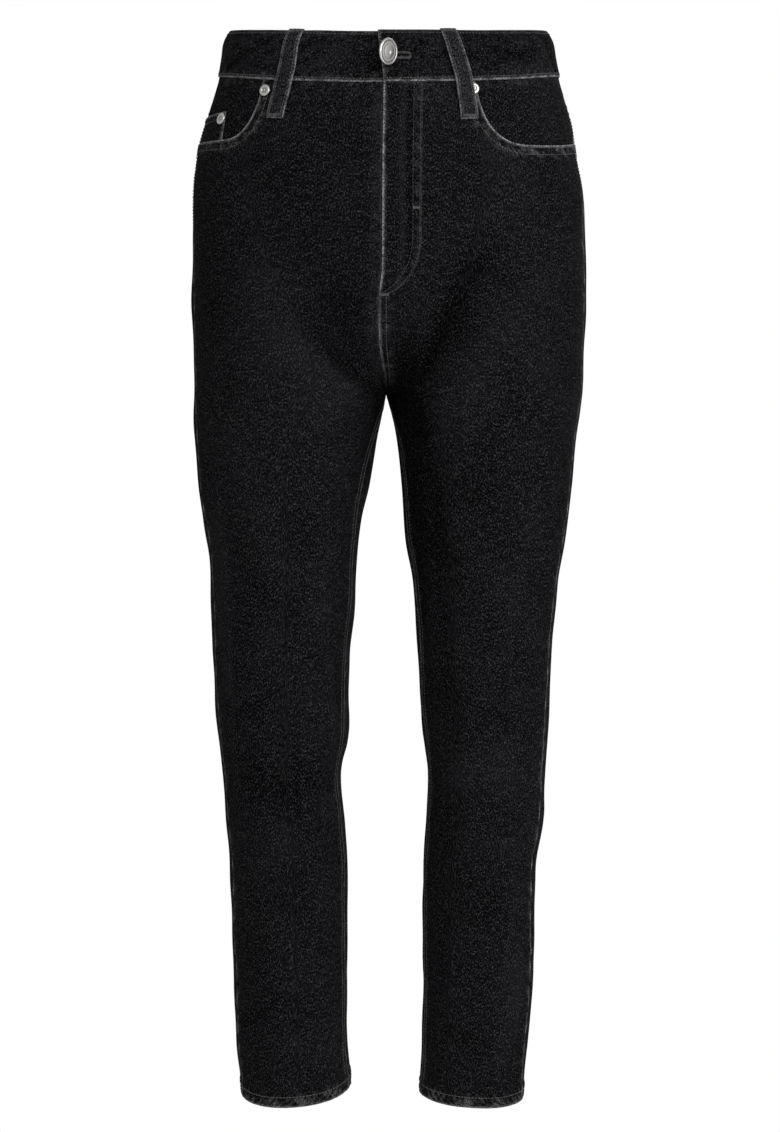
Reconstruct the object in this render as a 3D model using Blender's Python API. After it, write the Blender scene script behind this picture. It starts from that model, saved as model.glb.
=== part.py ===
"""High-rise tapered mom jeans, filled out as if worn, with nobody inside.

The front faces -Y, up is +Z and the wearer's right leg is on the -X side. The origin is the middle of
the waistband ring, about half way up the band, where a waist holds the jeans up.
Sizes are in millimetres, and become metres when a mesh is made.

Every piece is read from one surface, the outer face of the denim. A point of it is named by the
wearer's side, by its share of the way round that side (0 at the centre front or the front of the
inseam, 0.5 at the outseam, 1 at the centre back or the back of the inseam) and by its height z.
"""

import math
from collections import namedtuple

import bpy
import numpy as np

MM = 0.001

# Cloth thicknesses and the gap between two pieces that meet
WALL = 1.2
GAP = 0.3
LAID_GAP = 0.7
HEM_WALL = 2.6
HEM_RISE = 0.4
SEAM_TRIM = 0.0004

# The body and legs. Widths are the photo's outline, at 0.9 mm to the pixel.
CROTCH_Z = -300.0
BLEND_TOP_Z = -140.0
FRONT_FORK_Z = -215.0
BACK_FORK_Z = -175.0
FORK_REACH = 0.24
TORSO_SQUARENESS = 2.3
LEG_SQUARENESS = 2.15

# right and left are the outline's distances from the middle, front and back the depths
Torso = namedtuple("Torso", "z right left front back")
TORSO = [
    Torso(40, 149, 147, 95, 91),
    Torso(10, 149, 147, 96, 94),
    Torso(-20, 153, 152, 99, 100),
    Torso(-41, 159, 157, 102, 106),
    Torso(-63, 166, 163, 105, 112),
    Torso(-85, 172, 166, 107, 118),
    Torso(-121, 176, 173, 109, 126),
    Torso(-175, 177, 176, 111, 131),
    Torso(-211, 178, 177, 111, 130),
    Torso(-265, 177, 176, 109, 122),
    Torso(-300, 176, 173, 107, 112),
]

# outer and inner are x on that leg, front and back depths, inseam and outseam the degrees by which
# each seam is turned to the front from the innermost and the outermost point
Leg = namedtuple("Leg", "z outer inner front back inseam outseam")
RIGHT_LEG = [
    Leg(-200, -178, -3.6, 109, 112, 0, 16),
    Leg(-300, -176, -3.6, 106, 108, 0, 17),
    Leg(-317, -176, -5.4, 105, 104, 6, 18),
    Leg(-346, -175, -11.7, 103, 98, 16, 19),
    Leg(-389, -172, -19.0, 99, 90, 24, 20),
    Leg(-420, -167, -25.5, 96, 84, 22, 21),
    Leg(-454, -162, -29.7, 92, 79, 20, 21),
    Leg(-496, -160, -31.5, 87, 73, 20, 21),
    Leg(-540, -159, -36.0, 82, 68, 20, 21),
    Leg(-605, -155, -37.8, 75, 65, 20, 21),
    Leg(-648, -150, -44.0, 70, 66, 19, 21),
    Leg(-691, -147, -40.5, 65, 68, 18, 21),
    Leg(-734, -144, -38.7, 60, 69, 18, 22),
    Leg(-821, -141, -38.7, 51, 67, 17, 22),
    Leg(-890, -138, -38.2, 44, 65, 16, 20),
    Leg(-926, -135, -35.1, 41, 64, 16, 18),
    Leg(-960, -134, -34.0, 39, 63, 16, 18),
]
LEFT_LEG = [
    Leg(-200, 177, -3.6, 109, 112, 0, 15),
    Leg(-300, 173, -3.6, 106, 108, 0, 15),
    Leg(-317, 171, 0.0, 105, 104, 5, 16),
    Leg(-346, 167, 6.3, 103, 98, 12, 17),
    Leg(-389, 163, 10.8, 99, 90, 16, 18),
    Leg(-432, 158, 13.5, 95, 83, 16, 20),
    Leg(-475, 151, 20.7, 90, 76, 16, 22),
    Leg(-518, 147, 24.3, 85, 70, 16, 24),
    Leg(-562, 144, 26.1, 80, 67, 16, 25),
    Leg(-605, 142, 29.7, 75, 65, 16, 26),
    Leg(-648, 140, 33.3, 70, 66, 15, 27),
    Leg(-691, 137, 32.4, 65, 68, 15, 27),
    Leg(-734, 131, 29.7, 60, 69, 14, 27),
    Leg(-821, 130, 29.7, 51, 67, 14, 27),
    Leg(-890, 124, 28.8, 44, 65, 14, 24),
    Leg(-926, 121, 27.0, 41, 64, 14, 22),
    Leg(-960, 119, 26.0, 39, 63, 14, 22),
]

# x of the centre seams, and the degrees from the centre front to the outseam
Seams = namedtuple("Seams", "z front back outseam")
SEAMS = [
    Seams(40, -12.5, 0, 88),
    Seams(6, -11.0, 0, 88),
    Seams(-40, -6.0, 0, 88),
    Seams(-95, -6.8, 0, 86),
    Seams(-200, -7.4, -0.5, 77),
    Seams(-228, -10.0, -1, 75.5),
    Seams(-266, -10.6, -2, 74),
    Seams(-286, -8.0, -3, 73),
    Seams(-300, -3.6, -3.6, 73),
]

# Heights that change round the waist: the level, what the back has more, and the side's difference.
# The turn round the body is read at WAIST_Z.
Level = namedtuple("Level", "middle to_back to_side")
WAIST_TOP = Level(20.5, 14.0, 0.5)
WAIST_SEAM = Level(-22.8, 14.5, 2.7)
WAIST_Z = -30.0

# Large soft folds: each one's middle, its lean in degrees from level, its length along that lean, its
# width and its depth. Folds die away at the centre seams over this share, down to a little below the fork.
FOLD_FADE_SHARE = 1 / 12
FOLD_FADE_BELOW_FORK = 20.0
Fold = namedtuple("Fold", "side share z lean length width depth")
FOLDS = [
    Fold("right", 0.155, -279, -38, 70, 16, -2.2),
    Fold("right", 0.23, -290, -38, 85, 20, 2.0),
    Fold("left", 0.14, -268, 68, 120, 20, -2.8),
    Fold("left", 0.24, -296, 60, 90, 22, 1.8),
    Fold("left", 0.10, -372, -78, 130, 20, -2.2),
    Fold("right", 0.27, -655, -8, 70, 20, -2.0),
    Fold("left", 0.24, -640, 10, 75, 20, 2.0),
    Fold("left", 0.40, -850, 78, 80, 12, 2.4),
    Fold("right", 0.43, -500, -84, 110, 16, 1.8),
    Fold("right", 0.76, -330, 12, 95, 22, 2.4),
    Fold("left", 0.77, -326, -10, 90, 22, 2.4),
    Fold("right", 0.74, -374, 18, 80, 20, -2.4),
    Fold("left", 0.75, -370, -16, 85, 20, -2.4),
    Fold("right", 0.78, -596, 14, 80, 22, 2.8),
    Fold("right", 0.74, -640, -10, 70, 20, -2.4),
    Fold("left", 0.77, -602, -12, 80, 22, 2.8),
    Fold("left", 0.73, -646, 12, 70, 20, -2.4),
]

# The hems: z at the leg's middle, and the slopes to the wearer's left and to the back
Hem = namedtuple("Hem", "z slope_left slope_back")
HEM_HEIGHT = 11.0

Side = namedtuple("Side", "name sign leg hem")
RIGHT = Side("right", -1, RIGHT_LEG, Hem(-928.0, 0.08, 0.22))
LEFT = Side("left", 1, LEFT_LEG, Hem(-934.0, -0.05, 0.12))

# Panel rows, before the top edge and the hem bend them
TOP_ROW_Z = -28.0
TOP_FADE_Z = -175.0
HEM_FADE_Z = -800.0
HEM_ROW_Z = -930.0
TORSO_ROWS = [-28, -46, -68, -92, -118, -145, -170, -194, -215]
FORK_ROW_TURNS = [16, 33, 50, 68, 90]
THIGH_ROWS = [-312, -328, -348, -372, -398, -426, -456, -487, -518, -549]
KNEE_ROWS = [-578, -604, -629, -653, -679, -710]
SHIN_ROWS = [-743, -777, -811, -844, -874, -900]

# Panel columns: how many steps there are from the centre front to a pocket, and each column of the
# scoop as a share of the way from its inner end to the outseam
CENTRE_COLUMNS = 5
SCOOP_COLUMNS = [0, 0.02, 0.06, 0.13, 0.22, 0.33, 0.5, 0.67, 0.83, 1]
BACK_COLUMNS = 12

# Front pockets: x of the scoop's inner end, z of its lowest stretch, the share of the way to the
# outseam at which it gets there, how far it rises again, how square its curve is, how deep the facing
# lies, and x of the rivet
Pocket = namedtuple("Pocket", "side inner_x low_z reach rise squareness facing_top rivet_x")
POCKETS = {
    "right": Pocket(RIGHT, -111.0, -85.0, 0.3, 4.0, 2.7, -3.4, -109.0),
    "left": Pocket(LEFT, 74.0, -91.5, 0.3, 11.0, 2.4, -1.8, 72.5),
}
RIVET_Z = -44.5
SCOOP_TOP_Z = -35.0
FACING_BEYOND = 13.0
FACING_EVEN_ABOVE = 4.0
FACING_RAMP = 28.0

# Coin pocket: its leaning inner edge, and how far its first inner column stands off that edge
COIN_LIFT = 0.5
COIN_TOP_Z = -60.0
COIN_LOW_Z = -85.0
COIN_TOP_X = -143.5
COIN_LOW_X = -150.0
COIN_COLUMN_CLEAR = 1.6
COIN_RIVET_X = -148.0
COIN_RIVET_Z = -66.0
COIN_BELOW = 10.0

# Back yokes and back pockets
YOKE_AT_SIDE = 34.0
YOKE_AT_BACK = 64.0
BACK_POCKET_INNER_X = 36.0
BACK_POCKET_OUTER_X = 148.0
BACK_POCKET_TOP_Z = -98.0
BACK_POCKET_SIDE = 120.0
BACK_POCKET_POINT = 20.0
BACK_POCKET_TAPER = 0.10
BACK_POCKET_CLEAR_TOP = 8.0
BACK_POCKET_CLEAR_FOOT = 2.0

# Waistband: its faces, how its top edge rolls in, and its lap at the centre front
BAND_OUT = 1.3
BAND_IN = -1.2
BAND_ROLL = 7.5
BAND_ROLL_HEIGHT = 17.0
BAND_ROLL_IN_FRONT = 0.4
BAND_HALF_WIDTH = 150.0
BAND_LAP = 1.4
UNDERLAP_X = 30.0
UNDERLAP_FROM = 0.02
LAP_RAMP = 0.12

# Waistband rows, and its columns: in half the waist, in the lapped stretch and in the underlap
BAND_ROWS = [0.0, 0.12, 0.3, 0.62, 1.0]
BAND_STEPS = 24
LAPPED_SHARE = 0.25
LAPPED_STEPS = 9
UNDERLAP_COLUMNS = 4

# Fly
FLY_WIDTH = 34.5
FLY_END_Z = -226.0
FLY_CURVE_Z = -174.0
FLY_CURVE_TURNS = [20, 40, 60, 76, 90]
FLY_TIP = 0.12
FLY_WALL = 1.2
FLY_COLUMNS = 5
FLY_STRAIGHT_ROWS = 8

# Belt loops: each front one leans between its x at two heights
LOOP_WIDTH = 15.5
LOOP_WALL = 1.8
LOOP_BULGE = 2.4
LOOP_ARCH = 0.8
LOOP_BELOW_SEAM = 34.0
LOOP_ROWS = 12
BAND_STEP_ABOVE = 1.0
BAND_STEP = 12.0
LOOP_TOP_Z = 0.0
LOOP_LOW_Z = -70.0
Loop = namedtuple("Loop", "name side top_x low_x")
FRONT_LOOPS = [
    Loop("belt_loop_front_right", RIGHT, -83.0, -100.5),
    Loop("belt_loop_front_left", LEFT, 52.0, 69.0),
]
BACK_LOOP_SHARE = 0.74

# Turned metal trim: profiles from the axis at the back to the axis at the face
Ring = namedtuple("Ring", "radius height")
RIVET_STEPS = 16
RIVET_PROFILE = [
    Ring(0, 0),
    Ring(5.2, 0),
    Ring(5.2, 0.5),
    Ring(4.4, 1.3),
    Ring(3.0, 1.5),
    Ring(2.0, 0.9),
    Ring(0.9, 0.9),
    Ring(0, 1.4),
]
BUTTON_X = -1.5
BUTTON_Z = -17.0
BUTTON_TILT = 50.0
BUTTON_LEAN = 8.0
BUTTON_LIFT = 10.3
BUTTON_STEPS = 24
BUTTON_PROFILE = [
    Ring(0, -1.3),
    Ring(10.1, -1.3),
    Ring(11.8, -0.5),
    Ring(11.8, 0.5),
    Ring(11.0, 1.2),
    Ring(9.4, 1.0),
    Ring(0, 1.2),
]
SHANK_RADIUS = 3.2
SHANK_FLARE = 0.8
SHANK_FOOT = 2.0
SHANK_NECK = 3.0

# Buttonhole: a round eye, between these turns of its outline, and a narrow tail
EYELET_RADIUS = 4.4
EYELET_TURNS = (0.25, 2.79)
EYELET_COLUMNS = 8
BUTTONHOLE_LENGTH = 13.5
BUTTONHOLE_HALF_WIDTH = 1.3
BUTTONHOLE_COLUMNS = 3
CUT_BELOW = 0.12
CUT_ABOVE = 1.5


def column(table, name):
    """One named column of a table, as an array."""
    return np.array([getattr(row, name) for row in table], float)


def along(table, name, z):
    """A smooth curve through one column of a table that runs downwards, read at height z.

    It turns level wherever the column does, so it never swings past the rows on either side.
    """
    heights = column(table, "z")[::-1]
    values = column(table, name)[::-1]
    steps = np.diff(heights)
    rates = np.diff(values) / steps
    product = np.maximum(rates[:-1] * rates[1:], 0)
    total = rates[:-1] + rates[1:]
    inner = 2 * product / np.where(product > 0, total, 1)
    slopes = np.concatenate([rates[:1], inner, rates[-1:]])
    z = np.clip(z, heights[0], heights[-1])
    i = np.clip(np.searchsorted(heights, z) - 1, 0, len(steps) - 1)
    t = (z - heights[i]) / steps[i]
    rise = values[i + 1] - values[i]
    ease = t * t * (3 - 2 * t)
    bend = t * (1 - t) * steps[i] * ((1 - t) * slopes[i] - t * slopes[i + 1])
    return values[i] + rise * ease + bend


def smooth(t):
    """0 below 0, 1 above 1, and an even curve between."""
    t = np.clip(t, 0, 1)
    return t * t * (3 - 2 * t)


def rounded(value, squareness):
    """A sine or cosine reshaped, so that a circle becomes a rounded box."""
    return np.sign(value) * np.abs(value) ** (2 / squareness)


def torso_turn(share, z):
    """Radians round the body from the centre front to this share of the way."""
    outseam = along(SEAMS, "outseam", z)
    front = outseam * share * 2
    back = outseam + (180 - outseam) * (share * 2 - 1)
    return np.radians(np.where(share <= 0.5, front, back))


def torso_xy(side, share, z):
    """The body's oval section, half of it on each side of the centre seams."""
    turn = torso_turn(share, z)
    front_x = along(SEAMS, "front", z)
    back_x = along(SEAMS, "back", z)
    seam_x = front_x + (back_x - front_x) * (1 - np.cos(turn)) / 2
    half = side.sign * along(TORSO, side.name, z) - (front_x + back_x) / 2
    x = seam_x + half * rounded(np.sin(turn), TORSO_SQUARENESS)
    depth = np.where(np.cos(turn) > 0, along(TORSO, "front", z), along(TORSO, "back", z))
    return x, -depth * rounded(np.cos(turn), TORSO_SQUARENESS)


def leg_xy(side, share, z):
    """A leg's closed section, from the inseam round the front, the outseam and the back."""
    leg = side.leg
    outer = along(leg, "outer", z)
    inner = along(leg, "inner", z)
    inseam = along(leg, "inseam", z)
    outseam = 180 - along(leg, "outseam", z)
    front = inseam + (outseam - inseam) * share * 2
    back = outseam + (360 + inseam - outseam) * (share * 2 - 1)
    turn = np.radians(np.where(share <= 0.5, front, back))
    x = (outer + inner) / 2 + (inner - outer) / 2 * rounded(np.cos(turn), LEG_SQUARENESS)
    front_y = -along(leg, "front", z)
    back_y = along(leg, "back", z)
    return x, (front_y + back_y) / 2 - (back_y - front_y) / 2 * rounded(np.sin(turn), LEG_SQUARENESS)


def fork_weight(share, z):
    """How far each point has gone from the body's section to the leg's.

    The panels change over a long stretch. Their centre ends follow a quarter round under the body,
    which is the curve of the front and back rise.
    """
    panel = smooth((BLEND_TOP_Z - z) / (BLEND_TOP_Z - CROTCH_Z))
    top = np.where(share < 0.5, FRONT_FORK_Z, BACK_FORK_Z)
    reach = np.clip((top - z) / (top - CROTCH_Z), 0, 1)
    rise = 1 - np.sqrt(1 - reach**2)
    from_end = np.minimum(share, 1 - share)
    near = np.cos(math.pi / 2 * np.clip(from_end / FORK_REACH, 0, 1)) ** 2
    return panel + (rise - panel) * near


def fold_depth(side, share, z, girth):
    """How far the large folds push the cloth out, in mm."""
    total = np.zeros(np.broadcast(share, z).shape)
    for fold in FOLDS:
        if fold.side != side.name:
            continue
        across = (share - fold.share) * girth * side.sign
        up = z - fold.z
        lean = math.radians(fold.lean)
        length = across * math.cos(lean) + up * math.sin(lean)
        width = up * math.cos(lean) - across * math.sin(lean)
        fade = smooth(1.5 - 1.5 * np.abs(length) / fold.length)
        total += fold.depth * fade * np.exp(-((width / fold.width) ** 2))
    return total


def level_z(level, side, share):
    """A height that changes round the waist, such as the waist seam."""
    turn = torso_turn(share, WAIST_Z)
    return level.middle - level.to_back * np.cos(turn) - level.to_side * np.cos(2 * turn)


def surface(side, share, z):
    """Points of the denim's outer face. The two sides stand half a gap off the centre seams."""
    share, z = np.broadcast_arrays(np.asarray(share, float), np.asarray(z, float))
    closed = z <= CROTCH_Z
    share = np.where(closed, np.mod(share, 1.0), np.clip(share, 0, 1))
    body_x, body_y = torso_xy(side, share, np.maximum(z, CROTCH_Z))
    leg_x, leg_y = leg_xy(side, share, z)
    weight = np.where(closed, 1.0, fork_weight(share, z))
    x = body_x + (leg_x - body_x) * weight
    y = body_y + (leg_y - body_y) * weight
    outer = along(side.leg, "outer", z)
    inner = along(side.leg, "inner", z)
    from_x = x - (outer + inner) / 2
    size = np.maximum(np.hypot(from_x, y), 1.0)
    girth = 2 * math.pi * size
    from_seam = np.minimum(share, 1 - share)
    fade = np.where(z <= CROTCH_Z - FOLD_FADE_BELOW_FORK, 1.0, smooth(from_seam / FOLD_FADE_SHARE))
    push = fold_depth(side, share, z, girth) * fade / size
    below_top = level_z(WAIST_TOP, side, share) - z
    to_side = BAND_ROLL_IN_FRONT + (1 - BAND_ROLL_IN_FRONT) * np.abs(x) / BAND_HALF_WIDTH
    roll = BAND_ROLL * to_side * np.clip(1 - below_top / BAND_ROLL_HEIGHT, 0, 1) ** 2
    roll = roll / np.maximum(np.hypot(x, y), 1.0)
    at_x = x + push * from_x - roll * x + side.sign * GAP / 2
    at_y = y + push * y - roll * y
    return np.stack([at_x, at_y, z], axis=-1)


def normal(side, share, z):
    """Unit directions out of the cloth, flat across the centre seams."""
    share, z = np.broadcast_arrays(np.asarray(share, float), np.asarray(z, float))
    step_share, step_z = 0.004, 0.6
    round_it = surface(side, share + step_share, z) - surface(side, share - step_share, z)
    up_it = surface(side, share, z + step_z) - surface(side, share, z - step_z)
    out = side.sign * np.cross(round_it, up_it)
    at_centre = (z > CROTCH_Z) & ((share < step_share) | (share > 1 - step_share))
    out[..., 0] = np.where(at_centre, 0.0, out[..., 0])
    return out / np.linalg.norm(out, axis=-1, keepdims=True)


def off_surface(side, share, z, out):
    """Points of the outer face moved out by so many mm, or in where that is negative."""
    return surface(side, share, z) + normal(side, share, z) * np.asarray(out, float)[..., None]


def share_at(side, x, z):
    """The share of the way round where the front has this x at this height."""
    shares = np.linspace(0, 0.5, 201)
    return float(np.interp(side.sign * x, side.sign * surface(side, shares, z)[:, 0], shares))


def back_share_at(side, x, z):
    """The share of the way round where the back is this far from the middle."""
    shares = np.linspace(1, 0.5, 201)
    return float(np.interp(x, side.sign * surface(side, shares, z)[:, 0], shares))


def share_for(side, share, z, width):
    """The step in share that goes so many mm round the cloth at this place."""
    step = 0.005
    there = surface(side, share + step, z) - surface(side, share - step, z)
    return width * 2 * step / float(np.linalg.norm(there))


def quads(index):
    """The four-cornered faces of a grid of point numbers."""
    corners = [index[:-1, :-1], index[:-1, 1:], index[1:, 1:], index[1:, :-1]]
    return np.stack(corners, axis=-1).reshape(-1, 4).tolist()


def add_object(name, points, faces, material):
    """A closed mesh object with its faces pointing out, smooth but for its hard edges."""
    mesh = bpy.data.meshes.new(name)
    mesh.from_pydata((np.asarray(points) * MM).tolist(), [], faces)
    mesh.update()
    corners = np.array([[mesh.vertices[i].co for i in t.vertices] for t in triangles(mesh)])
    if np.linalg.det(corners).sum() < 0:
        mesh.flip_normals()
    mesh.materials.append(material)
    mesh.shade_smooth()
    mesh.set_sharp_from_angle(angle=math.radians(50))
    made = bpy.data.objects.new(name, mesh)
    bpy.context.scene.collection.objects.link(made)
    return made


def triangles(mesh):
    """The mesh's faces as triangles."""
    mesh.calc_loop_triangles()
    return mesh.loop_triangles


def closed_wall(name, outer, inner, material):
    """A cloth wall between two grids of points, closed along its four edges."""
    rows, columns = outer.shape[:2]
    index = np.arange(rows * columns).reshape(rows, columns)
    below = index + rows * columns
    rim = np.concatenate([index[0, :], index[1:, -1], index[-1, -2::-1], index[-2:0:-1, 0]])
    after = np.roll(rim, -1)
    edges = np.stack([rim, rim + rows * columns, after + rows * columns, after], axis=-1)
    faces = quads(index) + quads(below[:, ::-1]) + edges.tolist()
    points = np.concatenate([outer.reshape(-1, 3), inner.reshape(-1, 3)])
    return add_object(name, points, faces, material)


def patch(name, side, share, z, top, wall, material):
    """A wall that lies on the surface, its outer face top mm out and its wall below that."""
    top = np.broadcast_to(np.asarray(top, float), share.shape)
    outer = off_surface(side, share, z, top)
    inner = off_surface(side, share, z, top - wall)
    return closed_wall(name, outer, inner, material)


def turned(name, profile, centre, axis, steps, material):
    """A solid turned round an axis from a profile of (radius, height) points, axis to axis."""
    axis = np.asarray(axis, float) / np.linalg.norm(axis)
    across = np.cross(axis, [0, 0, 1.0])
    across /= np.linalg.norm(across)
    third = np.cross(axis, across)
    turns = np.arange(steps) * 2 * math.pi / steps
    ring = np.outer(np.cos(turns), across) + np.outer(np.sin(turns), third)
    points = [np.asarray(centre) + axis * profile[0][1]]
    for radius, height in profile[1:-1]:
        points.extend(np.asarray(centre) + ring * radius + axis * height)
    points.append(np.asarray(centre) + axis * profile[-1][1])
    rings = np.arange((len(profile) - 2) * steps).reshape(-1, steps) + 1
    rings = np.concatenate([rings, rings[:, :1]], axis=1)
    last = len(points) - 1
    faces = quads(rings)
    faces += [[0, b, a] for a, b in zip(rings[0, :-1].tolist(), rings[0, 1:].tolist())]
    faces += [[last, a, b] for a, b in zip(rings[-1, :-1].tolist(), rings[-1, 1:].tolist())]
    return add_object(name, points, faces, material)


def material(name, colour, roughness, metallic=0.0):
    """A plain finish with this colour."""
    made = bpy.data.materials.new(name)
    made.use_nodes = True
    shader = made.node_tree.nodes["Principled BSDF"]
    shader.inputs["Base Color"].default_value = (*colour, 1)
    shader.inputs["Roughness"].default_value = roughness
    shader.inputs["Metallic"].default_value = metallic
    return made


def waist_seam_z(side, share):
    """The seam under the waistband."""
    return level_z(WAIST_SEAM, side, share)


def pocket_edge_z(pocket, share):
    """The scooped edge of the pocket opening: the waist seam, then down a rounded quarter."""
    start = scoop_start(pocket)
    top = waist_seam_z(pocket.side, start)
    way = (share - start) / (0.5 - start)
    u = np.clip(way / pocket.reach, 0, 1)
    n = pocket.squareness
    drop = (1 - (1 - u) ** n) ** (1 / n)
    rise = pocket.rise * np.clip((way - pocket.reach) / (1 - pocket.reach), 0, 1) ** 1.5
    scoop = top + (pocket.low_z - top) * drop + rise
    return np.where(share > start, scoop, waist_seam_z(pocket.side, share))


def yoke_seam_z(side, share):
    """The slanting seam between a yoke and the back panel."""
    run = np.clip(share * 2 - 1, 0, 1)
    return waist_seam_z(side, share) - YOKE_AT_SIDE - (YOKE_AT_BACK - YOKE_AT_SIDE) * run


def hem_z(side, share, z):
    """The slanting plane that the leg is cut off at."""
    at = surface(side, share, z)
    middle_x = (along(side.leg, "outer", z) + along(side.leg, "inner", z)) / 2
    middle_y = (along(side.leg, "back", z) - along(side.leg, "front", z)) / 2
    hem = side.hem
    return hem.z + hem.slope_left * (at[..., 0] - middle_x) + hem.slope_back * (at[..., 1] - middle_y)


def panel_rows():
    """Nominal heights of the rows and the wall at each, from the waist seam to the hem."""
    fork = [FRONT_FORK_Z + (CROTCH_Z - FRONT_FORK_Z) * math.sin(math.radians(t)) for t in FORK_ROW_TURNS]
    heights = TORSO_ROWS + fork + THIGH_ROWS + KNEE_ROWS + SHIN_ROWS
    walls = [WALL] * len(heights)
    hem_top = HEM_ROW_Z + HEM_HEIGHT
    heights += [hem_top + 1.5, hem_top, HEM_ROW_Z]
    walls += [WALL, HEM_WALL, HEM_WALL]
    return np.array(heights, float), np.array(walls)


def panel_heights(side, shares, top_edge_z, nominal):
    """A grid of heights whose first row follows the top edge and whose last follows the hem."""
    share, z = np.meshgrid(shares, nominal)
    at_top = 1 - smooth((TOP_ROW_Z - z) / (TOP_ROW_Z - TOP_FADE_Z))
    at_hem = smooth((HEM_FADE_Z - z) / (HEM_FADE_Z - HEM_ROW_Z))
    top_shift = top_edge_z(share) - GAP / 2 - TOP_ROW_Z
    hem_shift = hem_z(side, share, HEM_ROW_Z) - HEM_ROW_Z
    return share, z + at_top * top_shift + at_hem * hem_shift


def panel(name, side, shares, top_edge_z, denim):
    """A front or back panel, from the edge at its top down to the hem."""
    nominal, walls = panel_rows()
    share, z = panel_heights(side, shares, top_edge_z, nominal)
    thick = walls[:, None] * np.ones_like(share)
    out = np.where(thick > WALL, HEM_RISE, 0.0)
    trimmed = np.where(z <= CROTCH_Z, np.clip(share, SEAM_TRIM, 1 - SEAM_TRIM), share)
    return patch(name, side, trimmed, z, out, thick, denim)


def scoop_start(pocket):
    """The share of the way round where a pocket opening leaves the waist seam."""
    return share_at(pocket.side, pocket.inner_x, SCOOP_TOP_Z)


def scoop_columns(pocket):
    """Columns across a pocket opening, close together where its edge drops from the waist seam."""
    start = scoop_start(pocket)
    return start + (0.5 - SEAM_TRIM - start) * np.array(SCOOP_COLUMNS)


def front_panel(side, denim):
    """A front leg, its top cut away by the pocket opening."""
    pocket = POCKETS[side.name]
    centre = np.linspace(0, scoop_start(pocket), CENTRE_COLUMNS + 1)
    shares = np.concatenate([centre[:-1], scoop_columns(pocket)])
    panel(f"front_{side.name}", side, shares, lambda share: pocket_edge_z(pocket, share), denim)


def back_columns():
    """Columns from the outseam to the centre back."""
    return np.linspace(0.5 + SEAM_TRIM, 1, BACK_COLUMNS + 1)


def back_panel(side, denim):
    """A back leg, from the yoke down."""
    panel(f"back_{side.name}", side, back_columns(), lambda share: yoke_seam_z(side, share), denim)


def yoke(side, denim):
    """The slanting piece between the waistband and the back panel."""
    share, down = np.meshgrid(back_columns(), np.linspace(0, 1, 4))
    top = waist_seam_z(side, share) - GAP / 2
    low = yoke_seam_z(side, share) + GAP / 2
    patch(f"yoke_{side.name}", side, share, top + (low - top) * down, 0.0, WALL, denim)


def facing_beyond(pocket):
    """The step in share by which the facing goes on behind the front panel."""
    return share_for(pocket.side, scoop_start(pocket), SCOOP_TOP_Z, FACING_BEYOND)


def facing_low_z(pocket, share):
    """The facing's lower edge, hidden under the front panel."""
    return pocket_edge_z(pocket, np.minimum(share + facing_beyond(pocket), 0.5)) - FACING_BEYOND


def facing_depth(pocket, share, z):
    """The facing lies deep under the pocket's edge, and comes level with the cloth round its top."""
    above_edge = z - pocket_edge_z(pocket, share)
    return pocket.facing_top * (1 - smooth((above_edge - FACING_EVEN_ABOVE) / FACING_RAMP))


def pocket_facing(pocket, denim):
    """The denim seen inside a front pocket opening."""
    side = pocket.side
    first = scoop_start(pocket) - facing_beyond(pocket)
    shares = np.concatenate([[first], scoop_columns(pocket)])
    share, down = np.meshgrid(shares, np.linspace(0, 1, 8))
    top = waist_seam_z(side, share) - GAP / 2
    z = top + (facing_low_z(pocket, share) - top) * down
    patch(f"pocket_facing_{side.name}", side, share, z, facing_depth(pocket, share, z), WALL, denim)


def coin_top(pocket, share, z):
    """How far out the coin pocket's face is, on its facing."""
    return facing_depth(pocket, share, z) + WALL + COIN_LIFT


def coin_pocket(denim):
    """The small pocket on the wearer's right facing, its mouth above the scooped edge."""
    pocket = POCKETS["right"]
    side = pocket.side
    inner = share_at(side, COIN_TOP_X, COIN_TOP_Z)
    lean = share_at(side, COIN_LOW_X, COIN_LOW_Z) - inner
    columns = scoop_columns(pocket)
    shares = np.concatenate([[inner], columns[columns > inner + lean * COIN_COLUMN_CLEAR]])
    share, down = np.meshgrid(shares, np.linspace(0, 1, 5))
    share[:, 0] += lean * down[:, 0]
    low = pocket_edge_z(pocket, share) - COIN_BELOW
    z = COIN_TOP_Z + (low - COIN_TOP_Z) * down
    patch("coin_pocket", side, share, z, coin_top(pocket, share, z), WALL, denim)


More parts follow.
